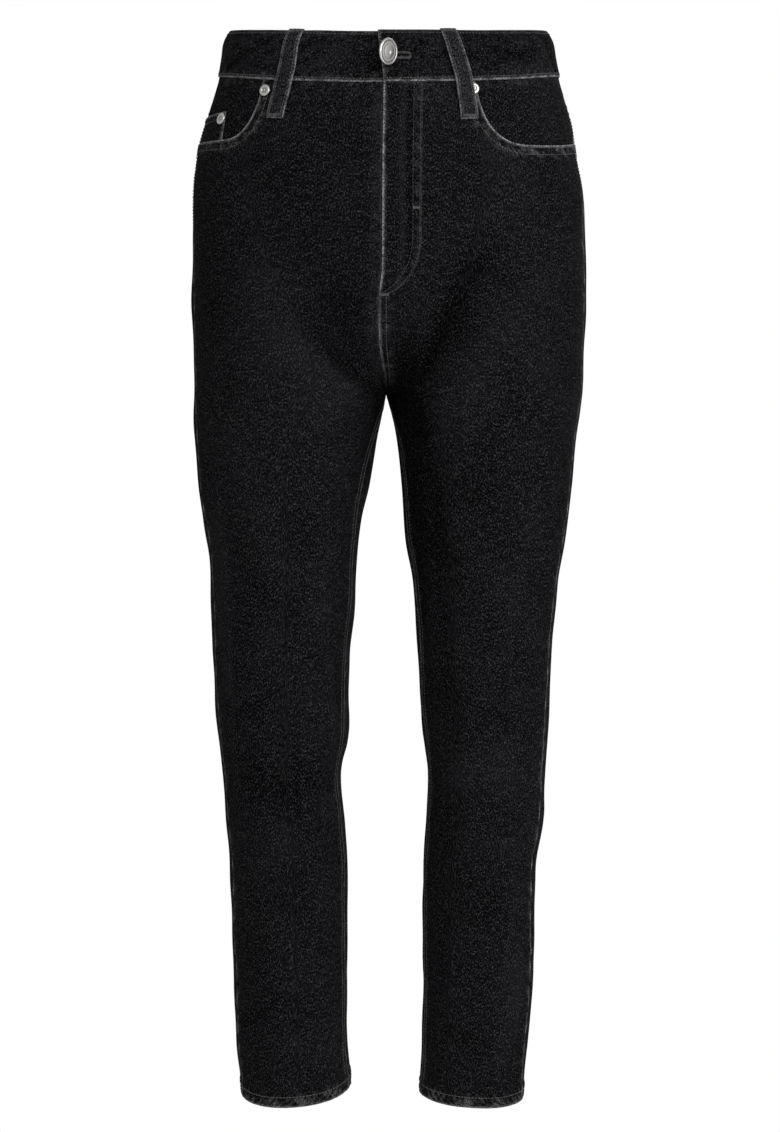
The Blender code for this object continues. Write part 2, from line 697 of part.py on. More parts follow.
def back_pocket(side, denim):
    """A patch pocket with a pointed foot, on the back panel and with the panel's rows and columns."""
    middle_z = BACK_POCKET_TOP_Z - BACK_POCKET_SIDE / 2
    inner = back_share_at(side, BACK_POCKET_INNER_X, middle_z)
    outer = back_share_at(side, BACK_POCKET_OUTER_X, middle_z)
    taper = (inner - outer) * BACK_POCKET_TAPER / 2
    columns = back_columns()
    inside = (columns > outer + taper) & (columns < inner - taper)
    shares = np.concatenate([[outer], columns[inside], [inner]])
    across = (shares - outer) / (inner - outer)
    foot = BACK_POCKET_TOP_Z - BACK_POCKET_SIDE - BACK_POCKET_POINT * (1 - np.abs(2 * across - 1))
    rows = panel_heights(side, shares, lambda share: yoke_seam_z(side, share), TORSO_ROWS)[1]
    under_top = (rows < BACK_POCKET_TOP_Z - BACK_POCKET_CLEAR_TOP).all(axis=1)
    over_foot = (rows > foot.max() + BACK_POCKET_CLEAR_FOOT).all(axis=1)
    z = np.vstack([np.full(shares.shape, BACK_POCKET_TOP_Z), rows[under_top & over_foot], foot])
    share = shares + np.zeros_like(z)
    down = (BACK_POCKET_TOP_Z - z) / BACK_POCKET_SIDE
    share[:, 0] += taper * down[:, 0]
    share[:, -1] -= taper * down[:, -1]
    top = np.full(z.shape, WALL + LAID_GAP)
    top[-1] += LAID_GAP
    patch(f"back_pocket_{side.name}", side, share, z, top, WALL, denim)


def underlap_end():
    """The share of the way round the left half where the underlap ends."""
    return share_at(LEFT, UNDERLAP_X, BUTTON_Z)


def band_lap(side, share):
    """How far the waistband stands out or in, so that its two ends clear each other."""
    if side is RIGHT:
        return -BAND_LAP * (1 - smooth(np.asarray(share) / LAP_RAMP))
    return BAND_LAP * smooth((underlap_end() + LAP_RAMP - np.asarray(share)) / LAP_RAMP)


def band_stations():
    """The waistband's columns in order: (side, share, lap)."""
    under = np.linspace(underlap_end(), UNDERLAP_FROM, UNDERLAP_COLUMNS)
    plain = np.linspace(1, LAPPED_SHARE, round(BAND_STEPS * (1 - LAPPED_SHARE)) + 1)[1:]
    over = np.linspace(LAPPED_SHARE, 0, LAPPED_STEPS + 1)[1:]
    stations = [(LEFT, share, -BAND_LAP) for share in under]
    stations += [(RIGHT, share, band_lap(RIGHT, share)) for share in np.linspace(0, 1, BAND_STEPS + 1)]
    stations += [(LEFT, share, band_lap(LEFT, share)) for share in np.concatenate([plain, over])]
    return stations


def keyhole(denim):
    """The cutter for the buttonhole: a round eye and a narrow tail, through the outer layer only."""
    eye_x = -EYELET_RADIUS * np.cos(np.linspace(*EYELET_TURNS, EYELET_COLUMNS))
    tail_x = np.linspace(eye_x[-1], EYELET_RADIUS + BUTTONHOLE_LENGTH, BUTTONHOLE_COLUMNS + 1)[1:]
    from_eye = np.concatenate([eye_x, tail_x])
    eye = np.sqrt(np.clip(EYELET_RADIUS**2 - from_eye**2, 0, None))
    half = np.maximum(eye, BUTTONHOLE_HALF_WIDTH)
    shares = np.array([share_at(LEFT, BUTTON_X + value, BUTTON_Z) for value in from_eye])
    share = np.stack([shares, shares])
    z = np.stack([BUTTON_Z + half, BUTTON_Z - half])
    low = BAND_IN + BAND_LAP - CUT_BELOW
    high = BAND_OUT + BAND_LAP + CUT_ABOVE
    made = closed_wall(
        "buttonhole_cutter",
        off_surface(LEFT, share, z, np.full(share.shape, high)),
        off_surface(LEFT, share, z, np.full(share.shape, low)),
        denim,
    )
    made.hide_render = True
    made.display_type = "WIRE"
    return made


def waistband(denim):
    """One strip from the underlap, round the waist and over its own start at the centre front."""
    rows = np.array(BAND_ROWS)
    outer, inner = [], []
    for side, share, lap in band_stations():
        top = level_z(WAIST_TOP, side, share)
        low = waist_seam_z(side, share) + GAP / 2
        z = top + (low - top) * rows
        shares = np.full(z.shape, share)
        outer.append(off_surface(side, shares, z, np.full(z.shape, BAND_OUT + lap)))
        inner.append(off_surface(side, shares, z, np.full(z.shape, BAND_IN + lap)))
    made = closed_wall("waistband", np.stack(outer, axis=1), np.stack(inner, axis=1), denim)
    cut = made.modifiers.new("buttonhole", "BOOLEAN")
    cut.operation = "DIFFERENCE"
    cut.solver = "EXACT"
    cut.object = keyhole(denim)


def fly_placket(denim):
    """The J-shaped band on the wearer's left front, beside the opening edge."""
    top = float(waist_seam_z(LEFT, 0.0)) - GAP / 2
    straight = np.linspace(top, FLY_CURVE_Z, FLY_STRAIGHT_ROWS)
    turns = np.radians(FLY_CURVE_TURNS)
    curve = FLY_CURVE_Z + (FLY_END_Z - FLY_CURVE_Z) * np.sin(turns)
    heights = np.concatenate([straight, curve])
    width = FLY_WIDTH * np.concatenate([np.ones(len(straight)), np.maximum(np.cos(turns), FLY_TIP)])
    across, z = np.meshgrid(np.linspace(0, 1, FLY_COLUMNS), heights)
    x = along(SEAMS, "front", z) + GAP + width[:, None] * across
    share = np.vectorize(lambda at_x, at_z: share_at(LEFT, at_x, at_z))(x, z)
    patch("fly_placket", LEFT, share, z, FLY_WALL + LAID_GAP, FLY_WALL, denim)


def belt_loop(name, places, denim):
    """A strap sewn down at its two ends, from the top of the waistband to below the waist seam.

    places gives for each column the function from how far down to (side, share).
    """
    down = np.linspace(0, 1, LOOP_ROWS)
    outer, inner = [], []
    for place in places:
        side, share = place(down)
        top = level_z(WAIST_TOP, side, share)
        seam = waist_seam_z(side, share)
        z = top + (seam - LOOP_BELOW_SEAM - top) * down
        off_band = smooth((seam - BAND_STEP_ABOVE - z) / BAND_STEP)
        on_band = (BAND_OUT + band_lap(side, share)) * (1 - off_band)
        lift = on_band + GAP + LOOP_BULGE * np.sin(math.pi * down) ** LOOP_ARCH
        inner.append(off_surface(side, share, z, lift))
        outer.append(off_surface(side, share, z, lift + LOOP_WALL))
    closed_wall(name, np.stack(outer, axis=1), np.stack(inner, axis=1), denim)


def side_loop(name, side, top_share, low_share, denim):
    """A belt loop that leans from one share of the way round to another."""

    def place(offset):
        def at(down):
            share = top_share + (low_share - top_share) * down
            step = share_for(side, (top_share + low_share) / 2, WAIST_Z, offset)
            return side, share + step

        return at

    belt_loop(name, [place(offset) for offset in (-LOOP_WIDTH / 2, 0, LOOP_WIDTH / 2)], denim)


def centre_back_loop(denim):
    """The loop over the centre back, from one half of the jeans to the other."""
    half = share_for(RIGHT, 0.99, WAIST_Z, LOOP_WIDTH / 2)
    belt_loop(
        "belt_loop_centre_back",
        [
            lambda down: (RIGHT, np.full(down.shape, 1 - half)),
            lambda down: (RIGHT, np.full(down.shape, 1.0)),
            lambda down: (LEFT, np.full(down.shape, 1 - half)),
        ],
        denim,
    )


def belt_loops(denim):
    """Two loops in front, two behind the sides and one at the centre back."""
    for loop in FRONT_LOOPS:
        top = share_at(loop.side, loop.top_x, LOOP_TOP_Z)
        low = share_at(loop.side, loop.low_x, LOOP_LOW_Z)
        side_loop(loop.name, loop.side, top, low, denim)
    for side in (RIGHT, LEFT):
        side_loop(f"belt_loop_back_{side.name}", side, BACK_LOOP_SHARE, BACK_LOOP_SHARE, denim)
    centre_back_loop(denim)


def rivet(name, side, share, z, on_top, metal):
    """A riveted cap with a raised ring and a small point in the middle."""
    centre = off_surface(side, share, z, on_top + GAP)
    turned(name, RIVET_PROFILE, centre, normal(side, share, z), RIVET_STEPS, metal)


def rivets(metal):
    """The rivets at the top of each pocket scoop and at the coin pocket's corner."""
    for pocket in POCKETS.values():
        share = share_at(pocket.side, pocket.rivet_x, RIVET_Z)
        rivet(f"rivet_pocket_{pocket.side.name}", pocket.side, share, RIVET_Z, 0.0, metal)
    share = share_at(RIGHT, COIN_RIVET_X, COIN_RIVET_Z)
    on_top = float(coin_top(POCKETS["right"], share, COIN_RIVET_Z)) + GAP
    rivet("rivet_coin_pocket", RIGHT, share, COIN_RIVET_Z, on_top, metal)


def button(metal):
    """A round head on a shank that stands on the underlap and goes through the buttonhole."""
    share = share_at(LEFT, BUTTON_X, BUTTON_Z)
    out = normal(LEFT, share, BUTTON_Z)
    foot_height = BAND_OUT - BAND_LAP + GAP
    base = off_surface(LEFT, share, BUTTON_Z, foot_height)
    band_top = BAND_OUT + BAND_LAP
    head_at = off_surface(LEFT, share, BUTTON_Z, band_top + BUTTON_LIFT)
    tilt = math.radians(BUTTON_TILT)
    lean = math.radians(BUTTON_LEAN)
    to_side = np.array([math.cos(lean), 0, -math.sin(lean)])
    face = np.array([0, -math.cos(tilt), 0]) + to_side * math.sin(tilt)
    made = turned("button", BUTTON_PROFILE, head_at, face, BUTTON_STEPS, metal)
    height = band_top + BUTTON_LIFT - foot_height
    shank_profile = [
        Ring(0, 0),
        Ring(SHANK_RADIUS + SHANK_FLARE, 0),
        Ring(SHANK_RADIUS, SHANK_FOOT),
        Ring(SHANK_RADIUS, height - SHANK_NECK),
        Ring(SHANK_RADIUS - SHANK_FLARE, height),
        Ring(0, height),
    ]
    shank = turned("button_shank_tool", shank_profile, base, out, BUTTON_STEPS, metal)
    shank.hide_render = True
    shank.display_type = "WIRE"
    joined = made.modifiers.new("shank", "BOOLEAN")
    joined.operation = "UNION"
    joined.solver = "EXACT"
    joined.object = shank


def main():
    """Clear the scene and build every piece."""
    for old in list(bpy.data.objects):
        bpy.data.objects.remove(old)
    denim = material("washed_black_denim", (0.018, 0.018, 0.021), 0.85)
    faded = material("faded_denim_edge", (0.035, 0.035, 0.039), 0.85)
    metal = material("brushed_nickel", (0.62, 0.61, 0.58), 0.35, 1.0)
    for side in (RIGHT, LEFT):
        front_panel(side, denim)
        back_panel(side, denim)
        yoke(side, denim)
        pocket_facing(POCKETS[side.name], denim)
        back_pocket(side, denim)
    coin_pocket(denim)
    waistband(denim)
    fly_placket(faded)
    belt_loops(faded)
    rivets(metal)
    button(metal)


main()
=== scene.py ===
"""Washed black mom jeans, filled out as worn with nobody inside: fine surfaces, sewing and finishes.

Every piece of cloth is read from one surface, the outer face of the denim. A point of it is named by the
wearer's side, by its share of the way round that side (0 at the centre front or the front of the inseam,
0.5 at the outseam, 1 at the centre back or the back of the inseam) and by its height z. Sizes are in
millimetres, and become metres when a mesh is made. The front faces -Y, and the right leg is at -X.
"""

import logging
import math
from dataclasses import dataclass, field
from enum import Enum
from typing import Callable, Sequence

import bpy
import numpy as np
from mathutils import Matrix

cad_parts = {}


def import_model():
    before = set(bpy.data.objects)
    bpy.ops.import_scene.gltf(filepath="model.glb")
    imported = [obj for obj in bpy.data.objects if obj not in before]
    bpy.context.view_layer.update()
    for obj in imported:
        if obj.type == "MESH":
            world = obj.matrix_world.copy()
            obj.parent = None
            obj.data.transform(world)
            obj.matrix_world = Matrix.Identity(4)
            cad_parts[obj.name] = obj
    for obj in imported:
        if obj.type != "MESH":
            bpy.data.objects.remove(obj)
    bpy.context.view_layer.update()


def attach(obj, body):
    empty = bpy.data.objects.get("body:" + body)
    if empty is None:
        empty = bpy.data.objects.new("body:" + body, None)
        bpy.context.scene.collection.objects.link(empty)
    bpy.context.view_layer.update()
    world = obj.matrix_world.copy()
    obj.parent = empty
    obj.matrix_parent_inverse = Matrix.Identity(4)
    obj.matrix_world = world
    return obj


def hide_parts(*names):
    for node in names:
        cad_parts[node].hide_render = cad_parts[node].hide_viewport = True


MM = 0.001
BODY = "root"
DENIM_SLOT = "washed_black_denim"
FADED_SLOT = "faded_denim_edge"

log = logging.getLogger("jeans")

Array = np.ndarray
Values = np.ndarray | float


class Side(Enum):
    """The wearer's side."""

    RIGHT = "right"
    LEFT = "left"

    @property
    def sign(self) -> int:
        """The sign of x on this side."""
        return 1 if self is Side.LEFT else -1


# Sections of the body and legs


@dataclass(frozen=True)
class TorsoRow:
    """The body's outline at one height: distances from the middle to each side and depths."""

    z: float
    right: float
    left: float
    front: float
    back: float


@dataclass(frozen=True)
class LegRow:
    """A leg's outline at one height: x outside and inside, depths, and the seams' turn to the front."""

    z: float
    outer: float
    inner: float
    front: float
    back: float
    inseam: float
    outseam: float


@dataclass(frozen=True)
class SeamRow:
    """x of the centre seams at one height, and the degrees from the centre front to the outseam."""

    z: float
    front: float
    back: float
    outseam: float


@dataclass(frozen=True)
class Level:
    """A height that changes round the waist: the level, what the back has more, the side's difference."""

    middle: float
    to_back: float
    to_side: float


@dataclass(frozen=True)
class Hem:
    """The plane that a leg is cut off at: its z at the leg's middle and its two slopes."""

    z: float
    slope_left: float
    slope_back: float


@dataclass(frozen=True)
class Crease:
    """A soft ridge, or a trough where its depth is below 0.

    Its middle is at share and z. It runs at lean degrees from level as seen from outside, for half its
    length each way, and its section is a bell curve of this width.
    """

    side: Side
    share: float
    z: float
    lean: float
    length: float
    width: float
    depth: float


def table_of(kind: type, *rows: tuple) -> list:
    """A table of rows of one kind, from their plain values."""
    return [kind(*row) for row in rows]


R, L = Side.RIGHT, Side.LEFT

TORSO = table_of(
    TorsoRow,
    (40, 149, 147, 95, 91),
    (10, 149, 147, 96, 94),
    (-20, 153, 152, 99, 100),
    (-41, 159, 157, 102, 106),
    (-63, 166, 163, 105, 112),
    (-85, 172, 166, 107, 118),
    (-121, 176, 173, 109, 126),
    (-175, 177, 176, 111, 131),
    (-211, 178, 177, 111, 130),
    (-265, 177, 176, 109, 122),
    (-300, 176, 173, 107, 112),
)
LEGS = {
    R: table_of(
        LegRow,
        (-200, -178, -3.6, 109, 112, 0, 16),
        (-300, -176, -3.6, 106, 108, 0, 17),
        (-317, -176, -5.4, 105, 104, 6, 18),
        (-346, -175, -11.7, 103, 98, 16, 19),
        (-389, -172, -19.0, 99, 90, 24, 20),
        (-420, -167, -25.5, 96, 84, 22, 21),
        (-454, -162, -29.7, 92, 79, 20, 21),
        (-496, -160, -31.5, 87, 73, 20, 21),
        (-540, -159, -36.0, 82, 68, 20, 21),
        (-605, -155, -37.8, 75, 65, 20, 21),
        (-648, -150, -44.0, 70, 66, 19, 21),
        (-691, -147, -40.5, 65, 68, 18, 21),
        (-734, -144, -38.7, 60, 69, 18, 22),
        (-821, -141, -38.7, 51, 67, 17, 22),
        (-890, -138, -38.2, 44, 65, 16, 20),
        (-926, -135, -35.1, 41, 64, 16, 18),
        (-960, -134, -34.0, 39, 63, 16, 18),
    ),
    L: table_of(
        LegRow,
        (-200, 177, -3.6, 109, 112, 0, 15),
        (-300, 173, -3.6, 106, 108, 0, 15),
        (-317, 171, 0.0, 105, 104, 5, 16),
        (-346, 167, 6.3, 103, 98, 12, 17),
        (-389, 163, 10.8, 99, 90, 16, 18),
        (-432, 158, 13.5, 95, 83, 16, 20),
        (-475, 151, 20.7, 90, 76, 16, 22),
        (-518, 147, 24.3, 85, 70, 16, 24),
        (-562, 144, 26.1, 80, 67, 16, 25),
        (-605, 142, 29.7, 75, 65, 16, 26),
        (-648, 140, 33.3, 70, 66, 15, 27),
        (-691, 137, 32.4, 65, 68, 15, 27),
        (-734, 131, 29.7, 60, 69, 14, 27),
        (-821, 130, 29.7, 51, 67, 14, 27),
        (-890, 124, 28.8, 44, 65, 14, 24),
        (-926, 121, 27.0, 41, 64, 14, 22),
        (-960, 119, 26.0, 39, 63, 14, 22),
    ),
}
SEAMS = table_of(
    SeamRow,
    (40, -12.5, 0, 88),
    (6, -11.0, 0, 88),
    (-40, -6.0, 0, 88),
    (-95, -6.8, 0, 86),
    (-200, -7.4, -0.5, 77),
    (-228, -10.0, -1, 75.5),
    (-266, -10.6, -2, 74),
    (-286, -8.0, -3, 73),
    (-300, -3.6, -3.6, 73),
)
HEMS = {R: Hem(-928.0, 0.08, 0.22), L: Hem(-934.0, -0.05, 0.12)}

# The large folds of the solids, then the smaller creases between and across them
FOLDS = table_of(
    Crease,
    (R, 0.155, -279, -38, 70, 16, -2.2),
    (R, 0.23, -290, -38, 85, 20, 2.0),
    (L, 0.14, -268, 68, 120, 20, -2.8),
    (L, 0.24, -296, 60, 90, 22, 1.8),
    (L, 0.10, -372, -78, 130, 20, -2.2),
    (R, 0.27, -655, -8, 70, 20, -2.0),
    (L, 0.24, -640, 10, 75, 20, 2.0),
    (L, 0.40, -850, 78, 80, 12, 2.4),
    (R, 0.43, -500, -84, 110, 16, 1.8),
    (R, 0.76, -330, 12, 95, 22, 2.4),
    (L, 0.77, -326, -10, 90, 22, 2.4),
    (R, 0.74, -374, 18, 80, 20, -2.4),
    (L, 0.75, -370, -16, 85, 20, -2.4),
    (R, 0.78, -596, 14, 80, 22, 2.8),
    (R, 0.74, -640, -10, 70, 20, -2.4),
    (L, 0.77, -602, -12, 80, 22, 2.8),
    (L, 0.73, -646, 12, 70, 20, -2.4),
)
CREASES = table_of(
    Crease,
    (R, 0.13, -290, -42, 46, 6, -1.3),
    (R, 0.17, -300, -30, 60, 9, 0.9),
    (R, 0.075, -595, -80, 80, 6, 1.2),
    (R, 0.30, -420, -62, 120, 16, 0.7),
    (R, 0.20, -470, 76, 100, 13, -0.6),
    (R, 0.34, -585, 12, 70, 11, -0.8),
    (R, 0.16, -640, -24, 60, 9, -0.9),
    (R, 0.13, -668, -12, 56, 9, 0.8),
    (R, 0.28, -716, 16, 64, 12, 0.7),
    (R, 0.34, -760, -10, 52, 9, -0.6),
    (R, 0.18, -790, 70, 80, 10, 0.6),
    (R, 0.36, -856, 22, 48, 10, -0.7),
    (R, 0.20, -892, -8, 60, 9, 0.6),
    (R, 0.40, -250, -70, 90, 14, -0.8),
    (R, 0.30, -190, -56, 80, 14, 0.6),
    (L, 0.38, -784, 80, 80, 4, 1.3),
    (R, 0.42, -460, -86, 90, 4, 0.9),
    (R, 0.41, -600, 88, 90, 4, 0.8),
    (L, 0.060, -400, 87, 190, 16, -1.6),
    (L, 0.045, -290, 76, 50, 8, -1.4),
    (R, 0.060, -312, -36, 60, 7, -1.6),
    (R, 0.11, -300, -30, 50, 6, 1.2),
    (L, 0.20, -332, 52, 70, 10, -0.9),
    (L, 0.30, -250, 58, 84, 13, 0.7),
    (L, 0.12, -500, -84, 150, 14, -1.1),
    (L, 0.34, -470, 80, 120, 12, 0.7),
    (L, 0.36, -600, -10, 60, 11, -0.8),
    (L, 0.17, -668, 16, 60, 9, -0.9),
    (L, 0.30, -704, -18, 60, 11, 0.8),
    (L, 0.22, -772, 12, 54, 9, -0.6),
    (L, 0.16, -836, 72, 70, 9, 0.6),
    (L, 0.30, -884, -12, 56, 9, -0.7),
    (L, 0.46, -700, 84, 90, 10, 0.8),
    (R, 0.86, -246, 38, 80, 12, 1.0),
    (R, 0.90, -288, 34, 60, 9, -1.2),
    (R, 0.66, -290, 20, 70, 12, -0.9),
    (R, 0.70, -346, 8, 64, 9, 1.0),
    (R, 0.84, -400, 24, 56, 9, -0.8),
    (R, 0.66, -452, -62, 90, 13, 0.7),
    (R, 0.82, -520, 70, 90, 13, -0.7),
    (R, 0.70, -572, 20, 60, 9, -1.1),
    (R, 0.86, -622, 4, 48, 8, 1.1),
    (R, 0.68, -668, -16, 52, 9, 0.9),
    (R, 0.80, -694, 12, 50, 9, -0.9),
    (R, 0.72, -780, -14, 56, 10, 0.7),
    (R, 0.82, -838, 18, 52, 9, -0.7),
    (R, 0.68, -886, -6, 50, 9, 0.7),
    (L, 0.87, -250, -40, 76, 12, 1.0),
    (L, 0.91, -292, -32, 56, 9, -1.2),
    (L, 0.65, -284, -24, 74, 12, -0.9),
    (L, 0.71, -350, -6, 60, 9, 1.0),
    (L, 0.83, -408, -22, 60, 9, -0.8),
    (L, 0.67, -470, 66, 84, 13, 0.7),
    (L, 0.83, -536, -72, 96, 13, -0.7),
    (L, 0.69, -574, -18, 54, 9, -1.1),
    (L, 0.85, -628, -6, 50, 8, 1.1),
    (L, 0.67, -676, 14, 50, 9, 0.9),
    (L, 0.79, -704, -14, 48, 9, -0.9),
    (L, 0.73, -790, 12, 54, 10, 0.7),
    (L, 0.81, -850, -16, 50, 9, -0.7),
    (L, 0.69, -890, 8, 48, 9, 0.7),
)
# Drag creases in the waistband, where belt loops and the button pull on it
BAND_CREASES = table_of(
    Crease,
    (R, 0.40, -6, 32, 26, 4.0, 0.7),
    (R, 0.34, -14, 24, 30, 4.5, -0.8),
    (R, 0.29, 2, 40, 20, 3.5, 0.6),
    (R, 0.17, -10, 30, 30, 4.0, 0.8),
    (R, 0.13, -4, 18, 26, 4.0, -0.7),
    (R, 0.08, -18, 34, 24, 4.0, 0.7),
    (L, 0.09, -6, -28, 26, 4.0, 0.7),
    (L, 0.14, -16, -14, 26, 4.5, -0.8),
    (L, 0.27, -12, 4, 40, 4.5, -0.9),
    (L, 0.31, -24, 2, 44, 5.0, 0.8),
    (L, 0.37, -4, -62, 24, 4.0, 0.8),
    (L, 0.41, -6, -70, 22, 3.5, -0.7),
    (R, 0.60, 4, 24, 30, 4.5, 0.7),
    (R, 0.68, -8, -18, 26, 4.5, -0.7),
    (R, 0.84, -14, 22, 30, 4.5, 0.7),
    (R, 0.92, -22, -14, 26, 4.0, -0.6),
    (L, 0.60, 2, -22, 30, 4.5, 0.7),
    (L, 0.67, -10, 18, 26, 4.5, -0.7),
    (L, 0.85, -16, -24, 30, 4.5, 0.7),
    (L, 0.93, -24, 12, 26, 4.0, -0.6),
)


def smooth(t: Values) -> Array:
    """0 below 0, 1 above 1, and an even curve between."""
    t = np.clip(t, 0, 1)
    return t * t * (3 - 2 * t)


def bell(t: Values) -> Array:
    """A bell curve that is 1 at 0."""
    return np.exp(-np.square(t))


def rounded(value: Array, squareness: float) -> Array:
    """A sine or cosine reshaped, so that a circle becomes a rounded box."""
    return np.sign(value) * np.abs(value) ** (2 / squareness)


class Ripple:
    """Smooth seeded noise: a sum of sine waves with random directions and lengths near one pitch."""

    def __init__(self, seed: int, pitch: float, dims: int, waves: int = 14) -> None:
        random = np.random.default_rng(seed)
        way = random.normal(size=(waves, dims))
        way /= np.linalg.norm(way, axis=1, keepdims=True)
        lengths = pitch * random.uniform(0.7, 1.8, size=(waves, 1))
        self.waves = 2 * math.pi * way / lengths
        self.phases = random.uniform(0, 2 * math.pi, size=waves)

    def __call__(self, *at: Array) -> Array:
        """Reads the noise, which lies mostly between -1 and 1.

        Args:
            at: one array of coordinates in mm for each dimension.

        Returns:
            The noise at each place.
        """
        total = np.zeros(np.broadcast(*at).shape)
        for wave, phase in zip(self.waves, self.phases):
            total += np.sin(sum(k * x for k, x in zip(wave, at)) + phase)
        return total / math.sqrt(len(self.phases) / 2)


class Curve:
    """A smooth curve through one column of a table that runs downwards.

    It is a cubic between rows whose slopes are the harmonic means of the steps beside them, so that it
    turns level where the column does and never swings past the rows on either side.
    """

    def __init__(self, rows: Sequence[object], name: str) -> None:
        self.heights = np.array([row.z for row in rows], float)[::-1]
        self.values = np.array([getattr(row, name) for row in rows], float)[::-1]
        self.steps = np.diff(self.heights)
        rates = np.diff(self.values) / self.steps
        product = np.maximum(rates[:-1] * rates[1:], 0)
        inner = 2 * product / np.where(product > 0, rates[:-1] + rates[1:], 1)
        self.slopes = np.concatenate([rates[:1], inner, rates[-1:]])

    def __call__(self, z: Values) -> Array:
        """The column's value at these heights."""
        z = np.clip(z, self.heights[0], self.heights[-1])
        i = np.clip(np.searchsorted(self.heights, z) - 1, 0, len(self.steps) - 1)
        t = (z - self.heights[i]) / self.steps[i]
        rise = (self.values[i + 1] - self.values[i]) * t * t * (3 - 2 * t)
        bend = t * (1 - t) * self.steps[i] * ((1 - t) * self.slopes[i] - t * self.slopes[i + 1])
        return self.values[i] + rise + bend


@dataclass
class Form:
    """The outer face of the denim, as a function of side, share and z.

    gap is the space under a piece that lies on another, and seam_gap the one between edges sewn together.
    """

    crotch_z: float = -300.0
    blend_top_z: float = -140.0
    front_fork_z: float = -215.0
    back_fork_z: float = -175.0
    fork_reach: float = 0.24
    torso_squareness: float = 2.3
    leg_squareness: float = 2.15
    gap: float = 0.3
    seam_gap: float = 0.01
    waist_z: float = -30.0
    top: Level = Level(20.5, 14.0, 0.5)
    seam: Level = Level(-22.8, 14.5, 2.7)
    roll: float = 7.5
    roll_height: float = 17.0
    roll_in_front: float = 0.4
    half_width: float = 150.0
    fold_fade: float = 12.0
    ripple_depth: float = 0.35
    creases: list[Crease] = field(default_factory=lambda: [*FOLDS, *CREASES])

    def __post_init__(self) -> None:
        self.torso = {name: Curve(TORSO, name) for name in ("right", "left", "front", "back")}
        columns = ("outer", "inner", "front", "back", "inseam", "outseam")
        self.legs = {side: {name: Curve(LEGS[side], name) for name in columns} for side in Side}
        self.seams = {name: Curve(SEAMS, name) for name in ("front", "back", "outseam")}
        self.ripple = Ripple(seed=11, pitch=46.0, dims=3)

    def torso_turn(self, share: Array, z: Array) -> Array:
        """Radians round the body from the centre front to this share of the way."""
        outseam = self.seams["outseam"](z)
        front = outseam * share * 2
        back = outseam + (180 - outseam) * (share * 2 - 1)
        return np.radians(np.where(share <= 0.5, front, back))

    def torso_xy(self, side: Side, share: Array, z: Array) -> tuple[Array, Array]:
        """The body's oval section: half of a rounded box on each side of the centre seams."""
        turn = self.torso_turn(share, z)
        front_x = self.seams["front"](z)
        back_x = self.seams["back"](z)
        seam_x = front_x + (back_x - front_x) * (1 - np.cos(turn)) / 2
        half = side.sign * self.torso[side.value](z) - (front_x + back_x) / 2
        x = seam_x + half * rounded(np.sin(turn), self.torso_squareness)
        depth = np.where(np.cos(turn) > 0, self.torso["front"](z), self.torso["back"](z))
        return x, -depth * rounded(np.cos(turn), self.torso_squareness)

    def leg_xy(self, side: Side, share: Array, z: Array) -> tuple[Array, Array]:
        """A leg's closed section, from the inseam round the front, the outseam and the back."""
        leg = {name: curve(z) for name, curve in self.legs[side].items()}
        outseam = 180 - leg["outseam"]
        front = leg["inseam"] + (outseam - leg["inseam"]) * share * 2
        back = outseam + (360 + leg["inseam"] - outseam) * (share * 2 - 1)
        turn = np.radians(np.where(share <= 0.5, front, back))
        middle, half = (leg["outer"] + leg["inner"]) / 2, (leg["inner"] - leg["outer"]) / 2
        x = middle + half * rounded(np.cos(turn), self.leg_squareness)
        middle_y, half_y = (leg["back"] - leg["front"]) / 2, (leg["back"] + leg["front"]) / 2
        return x, middle_y - half_y * rounded(np.sin(turn), self.leg_squareness)

    def fork_weight(self, share: Array, z: Array) -> Array:
        """How far each point has gone from the body's section to the leg's.

        The panels change over a long stretch, and their centre ends follow a quarter round under the
        body, which is the curve of the front and back rise.
        """
        panel = smooth((self.blend_top_z - z) / (self.blend_top_z - self.crotch_z))
        top = np.where(share < 0.5, self.front_fork_z, self.back_fork_z)
        reach = np.clip((top - z) / (top - self.crotch_z), 0, 1)
        rise = 1 - np.sqrt(1 - reach**2)
        from_end = np.minimum(share, 1 - share)
        near = np.cos(math.pi / 2 * np.clip(from_end / self.fork_reach, 0, 1)) ** 2
        return panel + (rise - panel) * near

    def level(self, level: Level, share: Array) -> Array:
        """A height that changes round the waist, such as the waist seam."""
        turn = self.torso_turn(np.asarray(share, float), self.waist_z)
        return level.middle - level.to_back * np.cos(turn) - level.to_side * np.cos(2 * turn)

    def crease_push(
        self, creases: Sequence[Crease], side: Side, share: Array, z: Array, girth: Array
    ) -> Array:
        """How far creases push the cloth out: a bell across each one, fading to its ends.

        Args:
            creases: the creases to add up.
            side: the wearer's side.
            share: the share of the way round.
            z: the height.
            girth: mm round the section at each place.

        Returns:
            The push in mm, out of the leg where it is above 0.
        """
        total = np.zeros(np.broadcast(share, z).shape)
        for crease in creases:
            if crease.side is not side:
                continue
            across = (share - crease.share) * girth * side.sign
            up = z - crease.z
            lean = math.radians(crease.lean)
            length = across * math.cos(lean) + up * math.sin(lean)
            width = up * math.cos(lean) - across * math.sin(lean)
            bowed = width - 0.12 * length**2 / crease.length
            ends = smooth(1.5 - 1.5 * np.abs(length) / crease.length)
            total += crease.depth * ends * bell(bowed / crease.width)
        return total

